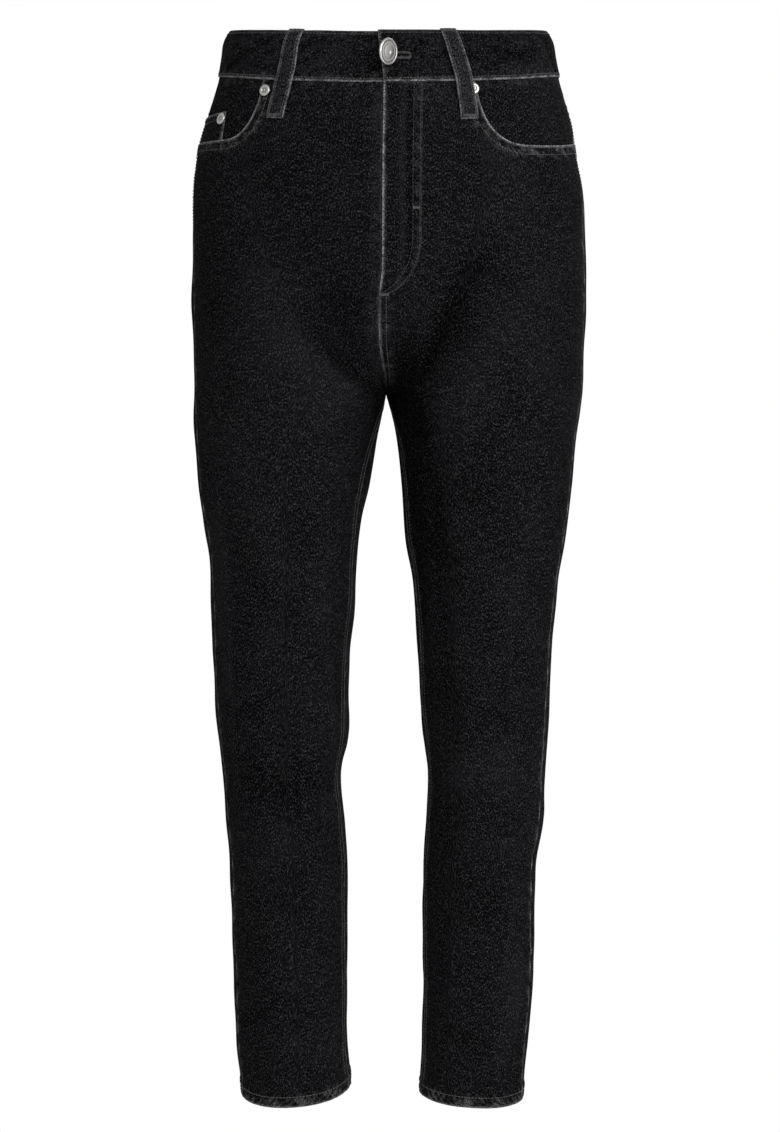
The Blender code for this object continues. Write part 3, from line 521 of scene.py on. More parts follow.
    def surface(self, side: Side, share: Array, z: Array) -> Array:
        """Points of the denim's outer face.

        The body's section turns into the leg's by the fork weight. Creases and a faint ripple push it
        in and out from the leg's axis, and the top of the waistband rolls in.
        """
        share, z = np.broadcast_arrays(np.asarray(share, float), np.asarray(z, float))
        closed = z <= self.crotch_z
        share = np.where(closed, np.mod(share, 1.0), np.clip(share, 0, 1))
        body_x, body_y = self.torso_xy(side, share, np.maximum(z, self.crotch_z))
        leg_x, leg_y = self.leg_xy(side, share, z)
        weight = np.where(closed, 1.0, self.fork_weight(share, z))
        x = body_x + (leg_x - body_x) * weight
        y = body_y + (leg_y - body_y) * weight
        from_x = x - (self.legs[side]["outer"](z) + self.legs[side]["inner"](z)) / 2
        size = np.maximum(np.hypot(from_x, y), 1.0)
        from_seam = np.minimum(share, 1 - share)
        fade = np.where(z <= self.crotch_z - 20, 1.0, smooth(from_seam * self.fold_fade))
        push = self.crease_push(self.creases, side, share, z, 2 * math.pi * size)
        push = fade * (push + self.ripple_depth * self.ripple(x, y, z))
        below_top = self.level(self.top, share) - z
        to_side = self.roll_in_front + (1 - self.roll_in_front) * np.abs(x) / self.half_width
        roll = self.roll * to_side * np.clip(1 - below_top / self.roll_height, 0, 1) ** 2
        roll = roll / np.maximum(np.hypot(x, y), 1.0)
        at_x = x + push * from_x / size - roll * x + side.sign * self.seam_gap / 2
        at_y = y + push * y / size - roll * y
        return np.stack([at_x, at_y, z], axis=-1)

    def raised(self, side: Side, share: Array, z: Array) -> Array:
        """How far the creases raise the cloth, in mm, for the painted shade and highlight in its tone."""
        point = self.surface(side, share, z)
        axis = (self.legs[side]["outer"](z) + self.legs[side]["inner"](z)) / 2
        girth = 2 * math.pi * np.hypot(point[..., 0] - axis, point[..., 1])
        return self.crease_push(self.creases, side, share, z, girth)

    def normal(self, side: Side, share: Array, z: Array) -> Array:
        """Unit directions out of the cloth, from steps round and down it, flat across the centre seams."""
        share, z = np.broadcast_arrays(np.asarray(share, float), np.asarray(z, float))
        step, down = 0.004, 0.6
        round_it = self.surface(side, share + step, z) - self.surface(side, share - step, z)
        up_it = self.surface(side, share, z + down) - self.surface(side, share, z - down)
        out = side.sign * np.cross(round_it, up_it)
        at_centre = (z > self.crotch_z) & ((share < step) | (share > 1 - step))
        out[..., 0] = np.where(at_centre, 0.0, out[..., 0])
        return out / np.linalg.norm(out, axis=-1, keepdims=True)

    def off(self, side: Side, share: Array, z: Array, out: Values) -> Array:
        """Points of the outer face moved out by so many mm, or in where that is negative."""
        lift = np.asarray(out, float)[..., None]
        return self.surface(side, share, z) + self.normal(side, share, z) * lift

    def share_at(self, side: Side, x: Values, z: float, back: bool = False) -> Array:
        """The share of the way round where the front, or the back, has this x at one height."""
        shares = np.linspace(1, 0.5, 401) if back else np.linspace(0, 0.5, 401)
        found = side.sign * self.surface(side, shares, np.full(401, z))[:, 0]
        return np.interp(side.sign * np.asarray(x, float), found, shares)

    def share_width(self, side: Side, share: float, z: float, width: float) -> float:
        """The step in share that goes so many mm round the cloth at this place."""
        ends = self.surface(side, np.array([share - 0.005, share + 0.005]), np.array([z, z]))
        return width * 0.01 / float(np.linalg.norm(ends[1] - ends[0]))

    def waist_seam(self, share: Array) -> Array:
        """The seam under the waistband."""
        return self.level(self.seam, share)

    def hem(self, side: Side, share: Array, z: float) -> Array:
        """The slanting plane that the leg is cut off at."""
        at = self.surface(side, share, np.full(np.shape(share), z))
        leg = self.legs[side]
        middle_x = (leg["outer"](z) + leg["inner"](z)) / 2
        middle_y = (leg["back"](z) - leg["front"](z)) / 2
        hem = HEMS[side]
        return hem.z + hem.slope_left * (at[..., 0] - middle_x) + hem.slope_back * (at[..., 1] - middle_y)


# Meshes


@dataclass
class Cloth:
    """A grid of cloth before it becomes a shell: where it is, how thick, and how it is worn.

    outer and inner are the two faces' points, rows down and columns across. rub, tone and pucker run
    over the same grid: rubbed edges, the wash with painted shade and highlight on creases and puckers, and
    the ridges beside stitching.
    """

    outer: Array
    inner: Array
    rub: Array
    tone: Array
    pucker: Array

    @staticmethod
    def steps(points: Array, axis: int) -> Array:
        """Cumulative length along one axis of a grid of points, from its first row or column."""
        step = np.linalg.norm(np.diff(points, axis=axis), axis=-1)
        start = np.zeros_like(np.take(step, [0], axis=axis))
        return np.concatenate([start, np.cumsum(step, axis=axis)], axis=axis)

    def flat(self) -> tuple[float, float, float]:
        """The cut: its width, length and area in metres, measured along the outer face."""
        across = self.steps(self.outer * (1, 1, 0), 1)
        down = self.steps(self.outer, 0)
        a, b = np.diff(self.outer, axis=1)[:-1], np.diff(self.outer, axis=0)[:, :-1]
        c, d = np.diff(self.outer, axis=1)[1:], np.diff(self.outer, axis=0)[:, 1:]
        area = np.linalg.norm(np.cross(a, b), axis=-1).sum() / 2
        area += np.linalg.norm(np.cross(c, d), axis=-1).sum() / 2
        return across[:, -1].max() * MM, down[-1].max() * MM, area * MM * MM


def quads(index: Array) -> Array:
    """The four-cornered faces of a grid of point numbers."""
    corners = [index[:-1, :-1], index[:-1, 1:], index[1:, 1:], index[1:, :-1]]
    return np.stack(corners, axis=-1).reshape(-1, 4)


def make_mesh(name: str, points: Array, faces: Array, material: bpy.types.Material) -> bpy.types.Object:
    """A mesh object from points in mm and faces of one size, with its faces turned out.

    Args:
        name: the piece's name.
        points: one row for each point.
        faces: one row of point numbers for each face.
        material: its finish.

    Returns:
        The object, at the origin, with its place in its mesh.
    """
    mesh = bpy.data.meshes.new(name)
    corners = faces.shape[1]
    mesh.vertices.add(len(points))
    mesh.vertices.foreach_set("co", (np.asarray(points) * MM).astype(np.float32).ravel())
    mesh.loops.add(faces.size)
    mesh.loops.foreach_set("vertex_index", faces.astype(np.int32).ravel())
    mesh.polygons.add(len(faces))
    mesh.polygons.foreach_set("loop_start", np.arange(0, faces.size, corners, dtype=np.int32))
    mesh.update(calc_edges=True)
    at = points[faces] - points.mean(axis=0)
    volume = sum(np.linalg.det(at[:, [0, k, k + 1]]).sum() for k in range(1, corners - 1))
    if volume < 0:
        mesh.flip_normals()
    mesh.materials.append(material)
    mesh.shade_smooth()
    made = bpy.data.objects.new(name, mesh)
    bpy.context.scene.collection.objects.link(made)
    return made


def add_value(made: bpy.types.Object, name: str, values: Array) -> None:
    """Stores one number for each point of a mesh."""
    attribute = made.data.attributes.new(name, "FLOAT", "POINT")
    attribute.data.foreach_set("value", np.asarray(values, np.float32).ravel())


def add_uv(made: bpy.types.Object, uv: Array) -> None:
    """Stores a place on the flat cloth, in metres, for each point of a mesh."""
    loops = np.zeros(len(made.data.loops), np.int32)
    made.data.loops.foreach_get("vertex_index", loops)
    layer = made.data.uv_layers.new(name="cloth")
    layer.data.foreach_set("uv", uv[loops].astype(np.float32).ravel())


def shell(name: str, cloth: Cloth, material: bpy.types.Material) -> bpy.types.Object:
    """A cloth wall between its two faces, closed along its four edges.

    The UV map is the length across from the middle column and down from the first row. The inner face
    reads a little to one side of the outer, so the two don't show the same flecks.
    """
    rows, columns = cloth.outer.shape[:2]
    index = np.arange(rows * columns).reshape(rows, columns)
    rim = np.concatenate([index[0, :], index[1:, -1], index[-1, -2::-1], index[-2:0:-1, 0]])
    after = np.roll(rim, -1)
    below = index + rows * columns
    edges = np.stack([rim, rim + rows * columns, after + rows * columns, after], axis=-1)
    faces = np.concatenate([quads(index), quads(below[:, ::-1]), edges])
    points = np.concatenate([cloth.outer.reshape(-1, 3), cloth.inner.reshape(-1, 3)])
    made = make_mesh(name, points, faces, material)
    across = Cloth.steps(cloth.outer, 1)
    across = across - across[:, [columns // 2]]
    uv = np.stack([across, -Cloth.steps(cloth.outer, 0)], axis=-1).reshape(-1, 2) * MM
    add_uv(made, np.concatenate([uv, uv + [0.31, 0.17]]))
    inside = np.concatenate([np.zeros(index.size), np.ones(index.size)])
    add_value(made, "inside", inside)
    for attribute in ("rub", "tone", "pucker"):
        values = getattr(cloth, attribute).ravel()
        add_value(made, attribute, np.concatenate([values, values]))
    return made


@dataclass(frozen=True)
class Edge:
    """How one edge of a piece is finished.

    rub is how worn the fold is, from 0 to 1, and pull how deep the puckers beside its stitching are, each
    a number or a function of the length along the edge. pitch is how far apart the puckers are, reach how
    far they go and skew how much they slant. layered is the width of the seam allowance that shows as a low
    ridge, and sink how far the edge is pressed down on what it is sewn to.
    """

    rub: float | Callable[[Array], Array] = 0.25
    rub_width: float = 1.3
    pull: float | Callable[[Array], Array] = 0.0
    pitch: float = 7.5
    reach: float = 6.0
    skew: float = 0.5
    layered: float = 0.0
    sink: float = 0.0


PLAIN = Edge(rub=0.0)
# The width of a felled seam's allowance, and how high it stands under the cloth
ALLOWANCE = 9.0
RIDGE = 0.32


@dataclass(frozen=True)
class Edges:
    """The finish of a piece's four edges."""

    top: Edge = PLAIN
    low: Edge = PLAIN
    first: Edge = PLAIN
    last: Edge = PLAIN


def edge_distance(points: Array, line: Array) -> tuple[Array, Array]:
    """How far each point is from a line of points, and how far along that line.

    The nearest of the line's points is found, and the way to it is split into a part along the line,
    of half a step at most, and the rest.

    Args:
        points: a grid of points.
        line: the line's points in order.

    Returns:
        The distance and the length along the line, over the grid.
    """
    flat = points.reshape(-1, 3)
    tangent = np.gradient(line, axis=0)
    step = np.linalg.norm(tangent, axis=1)
    tangent = tangent / np.maximum(step, 1e-9)[:, None]
    length = np.concatenate([[0], np.cumsum(np.linalg.norm(np.diff(line, axis=0), axis=1))])
    distance, along = np.zeros(len(flat)), np.zeros(len(flat))
    for start in range(0, len(flat), 4000):
        part = flat[start : start + 4000]
        squares = (part**2).sum(1)[:, None] + (line**2).sum(1) - 2 * part @ line.T
        near = squares.argmin(axis=1)
        way = part - line[near]
        forward = np.clip((way * tangent[near]).sum(1), -step[near] / 2, step[near] / 2)
        rest = way - forward[:, None] * tangent[near]
        distance[start : start + 4000] = np.linalg.norm(rest, axis=1)
        along[start : start + 4000] = length[near] + forward
    return distance.reshape(points.shape[:-1]), along.reshape(points.shape[:-1])


def graded(length: float, pitch: float, first: bool = True, last: bool = True) -> Array:
    """Places from 0 to 1 across a piece, close together at its ends so that the edge can be rounded.

    Args:
        length: mm from one end to the other.
        pitch: the usual step in mm.
        first: whether the first end is fine.
        last: whether the last end is fine.

    Returns:
        The places in order, as shares of the length.
    """
    fine = np.array([0, 0.14, 0.34, 0.62, 1.0, 1.6, 2.6, 4.2])
    start = fine if first else np.array([0.0])
    end = length - fine[::-1] if last else np.array([length])
    count = max(int(round((end[0] - start[-1]) / pitch)), 1)
    between = np.linspace(start[-1], end[0], count + 1)[1:-1]
    return np.concatenate([start, between, end]) / length


class Tailor:
    """Turns places on the form into finished cloth.

    far is a distance that no edge's finish reaches. The painted shades are what a mm of crease or pucker
    counts towards the tone, within their limits, as painted highlight where the cloth is raised and painted
    shade where it sinks, and painted_shade_strength is what all of that counts. cloudiness is how strong the
    wash is, and ridge_rub how soon the ridge of a pucker is rubbed. ridge_slope and sink_reach are the widths
    over which a seam's ridge and a pressed edge even out, and usual_pull and pull_change say how much the
    puckers differ along an edge.
    """

    far: float = 1e3
    crease_painted_shade: float = 0.7
    crease_limit: float = 1.8
    pucker_painted_shade: float = 3.6
    pucker_limits: tuple[float, float] = (-0.6, 0.3)
    painted_shade_strength: float = 0.22
    cloudiness: float = 0.05
    ridge_rub: float = 2.2
    ridge_slope: float = 1.6
    sink_reach: float = 9.0
    usual_pull: float = 0.75
    pull_change: float = 0.35

    def __init__(self, form: Form) -> None:
        self.form = form
        self.wash = Ripple(seed=5, pitch=70.0, dims=3)
        self.pull = Ripple(seed=23, pitch=1.0, dims=2)
        self.strength = Ripple(seed=31, pitch=18.0, dims=1)

    def lay(
        self,
        side: Side,
        share: Array,
        z: Array,
        out: Values,
        wall: Values,
        edges: Edges,
        lip: float = 0.5,
        more: Values = 0.0,
    ) -> Cloth:
        """A grid of cloth on the form with rounded edges, puckers beside its stitching, and wear.

        Args:
            side: the wearer's side.
            share: the share of the way round, over the grid.
            z: the height, over the grid.
            out: how far out the outer face is.
            wall: the cloth's thickness.
            edges: the finish of the four edges.
            lip: the radius that the edges are rounded to, from both faces.
            more: mm by which the piece is raised beyond the creases, only for the painted shade and highlight
                in its tone.

        Returns:
            The cloth.
        """
        base = self.form.surface(side, share, z)
        normal = self.form.normal(side, share, z)
        return self.finish(base, normal, out, wall, edges, lip, self.form.raised(side, share, z) + more)

    def finish(
        self,
        base: Array,
        normal: Array,
        out: Values,
        wall: Values,
        edges: Edges,
        lip: float,
        raised: Values = 0.0,
    ) -> Cloth:
        """Cloth from points of the form and their normals, as lay describes it, with painted highlight where
        it is raised and painted shade where it sinks.
        """
        shape = base.shape[:-1]
        out = np.broadcast_to(np.asarray(out, float), shape)
        wall = np.broadcast_to(np.asarray(wall, float), shape)
        lines = {"top": base[0], "low": base[-1], "first": base[:, 0], "last": base[:, -1]}
        nearest = np.full(shape, self.far)
        rub, pucker, push = np.zeros(shape), np.zeros(shape), np.zeros(shape)
        for number, (name, line) in enumerate(lines.items()):
            edge: Edge = getattr(edges, name)
            distance, along = edge_distance(base, line)
            if name in ("first", "last"):
                way = Cloth.steps(base, 1)
                way = way if name == "first" else way[:, -1:] - way
                distance = np.where(way < 4 * distance + 8, distance, self.far)
            nearest = np.minimum(nearest, distance)
            worn = edge.rub(along) if callable(edge.rub) else edge.rub
            rub = np.maximum(rub, worn * bell(distance / edge.rub_width))
            if edge.pull:
                wave = self.pull(
                    (along + edge.skew * distance) / edge.pitch + 40 * number, distance / edge.pitch / 2
                )
                wave = wave * (self.usual_pull + self.pull_change * self.strength(along + 300 * number))
                near = smooth(distance / 1.2) * smooth(1.6 - distance / edge.reach)
                depth = edge.pull(along) if callable(edge.pull) else np.float64(edge.pull)
                push = push + depth * wave * near
                pucker = np.maximum(pucker, smooth(wave * 0.9) * near * np.minimum(depth * self.ridge_rub, 1))
            if edge.layered:
                push = push + RIDGE * (1 - smooth((distance - edge.layered) / self.ridge_slope))
            push = push - edge.sink * (1 - smooth(distance / self.sink_reach))
        # Painted shade and highlight: raised creases and pucker ridges are made paler in the tone, and their
        # hollows darker
        shade = self.crease_painted_shade * np.clip(raised, -self.crease_limit, self.crease_limit)
        shade = shade + self.pucker_painted_shade * np.clip(push, *self.pucker_limits)
        radius = np.minimum(lip, wall * 0.48)
        short = radius - np.minimum(nearest, radius)
        sink = radius - np.sqrt(np.maximum(radius**2 - short**2, 0))
        outer = base + normal * (out + push - sink)[..., None]
        inner = base + normal * (out + push - wall + sink)[..., None]
        wash = self.wash(base[..., 0], base[..., 1], base[..., 2])
        tone = 0.5 + self.cloudiness * wash + shade * self.painted_shade_strength
        return Cloth(outer, inner, rub, tone, pucker)


# Shader node groups


class Nodes:
    """A short way to add nodes to a tree and join them."""

    def __init__(self, tree: bpy.types.NodeTree) -> None:
        self.tree = tree

    def add(self, kind: str, **settings: object) -> bpy.types.Node:
        """A node of this kind with these properties."""
        node = self.tree.nodes.new(kind)
        for name, value in settings.items():
            setattr(node, name, value)
        return node

    def join(self, source: bpy.types.NodeSocket, target: bpy.types.NodeSocket) -> None:
        """Links one socket to another."""
        self.tree.links.new(source, target)

    def put(self, socket: bpy.types.NodeSocket, value: object) -> None:
        """Links a socket to another, or gives it a plain value."""
        if isinstance(value, bpy.types.NodeSocket):
            self.join(value, socket)
        else:
            socket.default_value = value

    def maths(self, operation: str, *values: object) -> bpy.types.NodeSocket:
        """A Math node's result."""
        node = self.add("ShaderNodeMath", operation=operation)
        for socket, value in zip(node.inputs, values):
            self.put(socket, value)
        return node.outputs[0]

    def ramp(
        self, value: object, low: float, high: float, to_low: float = 0.0, to_high: float = 1.0
    ) -> object:
        """A value carried smoothly from one range to another and held at its ends."""
        node = self.add("ShaderNodeMapRange", interpolation_type="SMOOTHSTEP")
        self.put(node.inputs["Value"], value)
        node.inputs["From Min"].default_value = low
        node.inputs["From Max"].default_value = high
        node.inputs["To Min"].default_value = to_low
        node.inputs["To Max"].default_value = to_high
        return node.outputs["Result"]

    def mix(self, factor: object, first: object, second: object) -> bpy.types.NodeSocket:
        """Two colours mixed by a factor."""
        node = self.add("ShaderNodeMix", data_type="RGBA")
        self.put(node.inputs[0], factor)
        self.put(node.inputs[6], first)
        self.put(node.inputs[7], second)
        return node.outputs[2]

    def noise(self, vector: object, scale: object, detail: float = 2.0, rough: float = 0.5) -> object:
        """A noise texture's value."""
        node = self.add("ShaderNodeTexNoise")
        self.put(node.inputs["Vector"], vector)
        self.put(node.inputs["Scale"], scale)
        node.inputs["Detail"].default_value = detail
        node.inputs["Roughness"].default_value = rough
        return node.outputs["Fac"]

    def stretched(self, vector: object, x: object, y: object) -> bpy.types.NodeSocket:
        """A vector with its x and y multiplied."""
        split = self.add("ShaderNodeSeparateXYZ")
        self.put(split.inputs[0], vector)
        whole = self.add("ShaderNodeCombineXYZ")
        self.join(self.maths("MULTIPLY", split.outputs[0], x), whole.inputs[0])
        self.join(self.maths("MULTIPLY", split.outputs[1], y), whole.inputs[1])
        return whole.outputs[0]

    def group(self, tree: bpy.types.NodeTree, **values: object) -> bpy.types.NodeOutputs:
        """A node group's outputs, with its inputs given by name."""
        node = self.add("ShaderNodeGroup", node_tree=tree)
        for name, value in values.items():
            self.put(node.inputs[name], value)
        return node.outputs

    def bump(self, shader: bpy.types.Node, height: bpy.types.NodeSocket, **values: float) -> None:
        """Roughens a shader's surface by a height."""
        node = self.add("ShaderNodeBump")
        for name, value in values.items():
            node.inputs[name].default_value = value
        self.join(height, node.inputs["Height"])
        self.join(node.outputs["Normal"], shader.inputs["Normal"])


def new_group(name: str, takes: dict[str, float], gives: Sequence[str]) -> tuple[object, ...]:
    """A shader node group that takes a place on the cloth and some numbers, and gives numbers.

    Args:
        name: the group's name.
        takes: the default of each number it takes.
        gives: the names of the numbers it gives.

    Returns:
        The group, its builder, and the sockets inside it that it takes from and gives to.
    """
    tree = bpy.data.node_groups.new(name, "ShaderNodeTree")
    tree.interface.new_socket("Place", in_out="INPUT", socket_type="NodeSocketVector")
    for socket, value in takes.items():
        made = tree.interface.new_socket(socket, in_out="INPUT", socket_type="NodeSocketFloat")
        made.default_value = value
    for socket in gives:
        tree.interface.new_socket(socket, in_out="OUTPUT", socket_type="NodeSocketFloat")
    nodes = Nodes(tree)
    return tree, nodes, nodes.add("NodeGroupInput").outputs, nodes.add("NodeGroupOutput").inputs


def twill_group() -> bpy.types.NodeTree:
    """The weave of denim: diagonal wales crossed by uneven warp yarns.

    The height is a sine across the wales, broken by a noise that is long down the warp. Weft gives the
    pale points where the undyed yarn shows between wales.
    """
    tree, n, given, result = new_group("twill_weave", {"Pitch": 0.0007}, ["Height", "Weft"])
    split = n.add("ShaderNodeSeparateXYZ")
    n.join(given["Place"], split.inputs[0])
    slub = n.noise(n.stretched(given["Place"], 1500.0, 90.0), 1.0, 2.0)
    wobble = n.maths("MULTIPLY", slub, 0.0006)
    diagonal = n.maths("ADD", split.outputs[0], n.maths("MULTIPLY", split.outputs[1], -0.62))
    diagonal = n.maths("ADD", diagonal, wobble)
    turns = n.maths("DIVIDE", diagonal, given["Pitch"])
    wale = n.maths("SINE", n.maths("MULTIPLY", turns, 2 * math.pi))
    yarn = n.maths("SINE", n.maths("MULTIPLY", n.maths("DIVIDE", split.outputs[1], given["Pitch"]), 9.0))
    height = n.maths("ADD", n.maths("MULTIPLY", wale, 0.5), n.maths("MULTIPLY", slub, 1.2))
    n.join(height, result["Height"])
    n.join(n.ramp(n.maths("MULTIPLY", wale, yarn), 0.35, 0.95), result["Weft"])
    return tree


def fleck_group() -> bpy.types.NodeTree:
    """Flecks where the dye has washed off the raised yarns: a noise, longer down the warp, cut off low."""
    tree, n, given, result = new_group("wash_flecks", {"Size": 0.0014, "Lower": 0.52}, ["Fleck", "Grain"])
    per = n.maths("DIVIDE", 1.0, given["Size"])
    fine = n.noise(n.stretched(given["Place"], per, n.maths("MULTIPLY", per, 0.6)), 1.0, 2.0, 0.7)
    patch = n.noise(given["Place"], 160.0, 2.0)
    both = n.maths("ADD", fine, n.maths("MULTIPLY", n.maths("SUBTRACT", patch, 0.5), 0.25))
    over = n.maths("SUBTRACT", both, given["Lower"])
    n.join(n.ramp(over, 0.0, 0.24), result["Fleck"])
    n.join(fine, result["Grain"])
    return tree


def rub_group() -> bpy.types.NodeTree:
    """Where the cloth is worn pale: rubbed edges and the ridges beside stitching, broken up by two noises."""
    tree, n, given, result = new_group("rubbed_places", {"Rub": 0.0, "Pucker": 0.0}, ["Worn"])
    broken = n.noise(given["Place"], 700.0, 3.0, 0.65)
    runs = n.noise(given["Place"], 110.0, 2.0)
    line = n.maths("MULTIPLY", given["Rub"], n.ramp(broken, 0.36, 0.6, 0.1, 1.3))
    line = n.maths("MULTIPLY", line, n.ramp(runs, 0.34, 0.6, 0.4, 1.15))
    ridge = n.maths("MULTIPLY", given["Pucker"], n.ramp(broken, 0.40, 0.60, 0.0, 0.35))
    n.join(n.maths("MINIMUM", n.maths("ADD", line, ridge), 1.0), result["Worn"])
    return tree


Colour = tuple[float, float, float]


def opaque(colour: Colour) -> tuple[float, float, float, float]:
    """A colour with full alpha."""
    return (*colour, 1.0)


def principled(
    name: str, roughness: float, specular: float
) -> tuple[bpy.types.Material, Nodes, bpy.types.Node]:
    """A new material with its nodes and its shader."""
    material = bpy.data.materials.new(name)
    material.use_nodes = True
    shader = material.node_tree.nodes["Principled BSDF"]
    shader.inputs["Roughness"].default_value = roughness
    shader.inputs["Specular IOR Level"].default_value = specular
    return material, Nodes(material.node_tree), shader


@dataclass(frozen=True)
class DenimFinish:
    """Washed black denim: dark warp, grey flecks, pale rubbed edges and a greyer inside."""

    name: str
    dark: Colour = (0.0008, 0.0008, 0.0011)
    washed: Colour = (0.0080, 0.0080, 0.0091)
    fleck: Colour = (0.048, 0.048, 0.051)
    rubbed: Colour = (0.30, 0.30, 0.31)
    weft: Colour = (0.075, 0.075, 0.08)
    fleck_size: float = 0.00115
    fleck_lower: float = 0.50
    twill: float = 0.0007
    roughness: float = 0.92
    specular: float = 0.012
    bump: float = 0.00022
    cloud: float = 0.25
    salt: float = 2.8
    weft_outside: float = 0.02

    def build(self, groups: dict[str, bpy.types.NodeTree]) -> bpy.types.Material:
        """The material.

        Args:
            groups: the shared node groups by name.

        Returns:
            A material that reads the piece's cloth UV map and its rub, tone, pucker and inside values.
        """
        material, n, shader = principled(self.name, self.roughness, self.specular)
        place = n.add("ShaderNodeUVMap", uv_map="cloth").outputs["UV"]
        read = {
            name: n.add("ShaderNodeAttribute", attribute_name=name).outputs["Fac"]
            for name in ("rub", "tone", "pucker", "inside")
        }
        weave = n.group(groups["twill"], Place=place, Pitch=self.twill)
        flecks = n.group(groups["flecks"], Place=place, Size=self.fleck_size, Lower=self.fleck_lower)
        worn = n.group(groups["rub"], Place=place, Rub=read["rub"], Pucker=read["pucker"])
        cloud = n.noise(place, 30.0, 3.0)
        # The tone holds the random wash and the painted shade and highlight of creases and puckers
        wash = n.maths("ADD", read["tone"], n.maths("MULTIPLY", n.maths("SUBTRACT", cloud, 0.5), self.cloud))
        salt = n.maths("MULTIPLY", n.maths("SUBTRACT", flecks["Grain"], 0.5), self.salt)
        wash = n.maths("ADD", wash, salt)
        colour = n.mix(n.ramp(wash, 0.1, 0.95), opaque(self.dark), opaque(self.washed))
        paler = n.maths("MULTIPLY", flecks["Fleck"], n.ramp(wash, 0.0, 1.0, 0.45, 1.0))
        colour = n.mix(paler, colour, opaque(self.fleck))
        colour = n.mix(n.maths("MULTIPLY", weave["Weft"], self.weft_outside), colour, opaque(self.weft))
        colour = n.mix(worn["Worn"], colour, opaque(self.rubbed))
        under = n.mix(n.maths("MULTIPLY", weave["Weft"], 0.8), opaque(self.fleck), opaque(self.rubbed))
        colour = n.mix(n.maths("MULTIPLY", read["inside"], 0.55), colour, under)
        n.join(colour, shader.inputs["Base Color"])
        grain = n.maths("MULTIPLY", flecks["Grain"], 1.6)
        n.bump(shader, n.maths("ADD", weave["Height"], grain), Strength=0.8, Distance=self.bump)
        return material


@dataclass(frozen=True)
class ThreadFinish:
    """Charcoal sewing thread, each stitch a little paler or darker than the next."""

    name: str
    dark: Colour = (0.02, 0.02, 0.021)
    pale: Colour = (0.12, 0.12, 0.123)
    twist: float = 1500.0

    def build(self) -> bpy.types.Material:
        """The material, which reads each stitch's own tone and twists its yarn finely."""
        material, n, shader = principled(self.name, 0.7, 0.2)
        tone = n.add("ShaderNodeAttribute", attribute_name="tone").outputs["Fac"]
        place = n.add("ShaderNodeTexCoord").outputs["Object"]
        fuzz = n.noise(place, self.twist, 2.0)
        mixed = n.maths("MULTIPLY", tone, n.ramp(fuzz, 0.3, 0.7, 0.5, 1.2))
        n.join(n.mix(mixed, opaque(self.dark), opaque(self.pale)), shader.inputs["Base Color"])
        n.bump(shader, fuzz, Distance=0.00012)
        return material


@dataclass(frozen=True)
class NickelFinish:
    """Satin nickel with fine scuffs and darker recesses."""

    name: str
    bright: Colour = (0.60, 0.59, 0.57)
    dull: Colour = (0.24, 0.235, 0.225)

    def build(self) -> bpy.types.Material:
        """The material, dulled by a fine noise and, where the piece says so, in its recesses."""
        material, n, shader = principled(self.name, 0.34, 0.5)
        shader.inputs["Metallic"].default_value = 1.0
        place = n.add("ShaderNodeTexCoord").outputs["Object"]
        recess = n.add("ShaderNodeAttribute", attribute_name="recess").outputs["Fac"]
        scuff = n.noise(place, 900.0, 4.0, 0.6)
        dulled = n.maths("ADD", n.ramp(scuff, 0.45, 0.75, 0.0, 0.45), n.maths("MULTIPLY", recess, 0.75))
        dulled = n.maths("MINIMUM", dulled, 1.0)
        n.join(n.mix(dulled, opaque(self.bright), opaque(self.dull)), shader.inputs["Base Color"])
        n.join(n.ramp(scuff, 0.3, 0.8, 0.26, 0.5), shader.inputs["Roughness"])
        n.bump(shader, scuff, Strength=0.3, Distance=0.0001)
        return material


class Wardrobe:
    """The finishes, built once."""

    def __init__(self) -> None:
        groups = {"twill": twill_group(), "flecks": fleck_group(), "rub": rub_group()}
        self.denim = DenimFinish("washed_black_denim").build(groups)
        # A darker copy of the denim, painted shade for the right pocket facing inside its opening
        self.facing = DenimFinish("painted_shade_pocket_denim", washed=(0.0060, 0.0060, 0.0068)).build(groups)
        pale = DenimFinish("faded_denim_edge", washed=(0.020, 0.020, 0.022), fleck_lower=0.47)
        self.faded = pale.build(groups)
        self.thread = ThreadFinish("charcoal_thread").build()
        self.nickel = NickelFinish("brushed_nickel").build()


def dress(
    piece: bpy.types.Object, nodes: Sequence[str], cloth: Cloth | None = None,
) -> None:
    """Args:
        piece: the finished object.
        nodes: the solids that it stands for.
        cloth: its grid, if it is a sheet of cloth.
    """
    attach(piece, BODY)
    if nodes:
        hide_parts(*nodes)
    if cloth is not None:
        width, length, area = cloth.flat()
        area = min(area, width * length)
    log.info("%s: %d faces", piece.name, len(piece.data.polygons))


# Sewing


@dataclass(frozen=True)
class Thread:
    """A row of stitches: their step, length and thickness in mm, and how far the row stands out.

    The stitches lie across the row in a bar tack and along it elsewhere.
    """

    step: float = 3.0
    length: float = 2.35
    thick: float = 0.62
    lift: float = 0.22
    pale: float = 0.55
    across: bool = False


TOPSTITCH = Thread()
TACK = Thread(step=0.62, length=2.6, thick=0.6, lift=0.4, pale=0.6, across=True)
BUTTONHOLE_STITCH = Thread(step=0.7, length=2.2, thick=0.6, lift=0.3, pale=0.45, across=True)


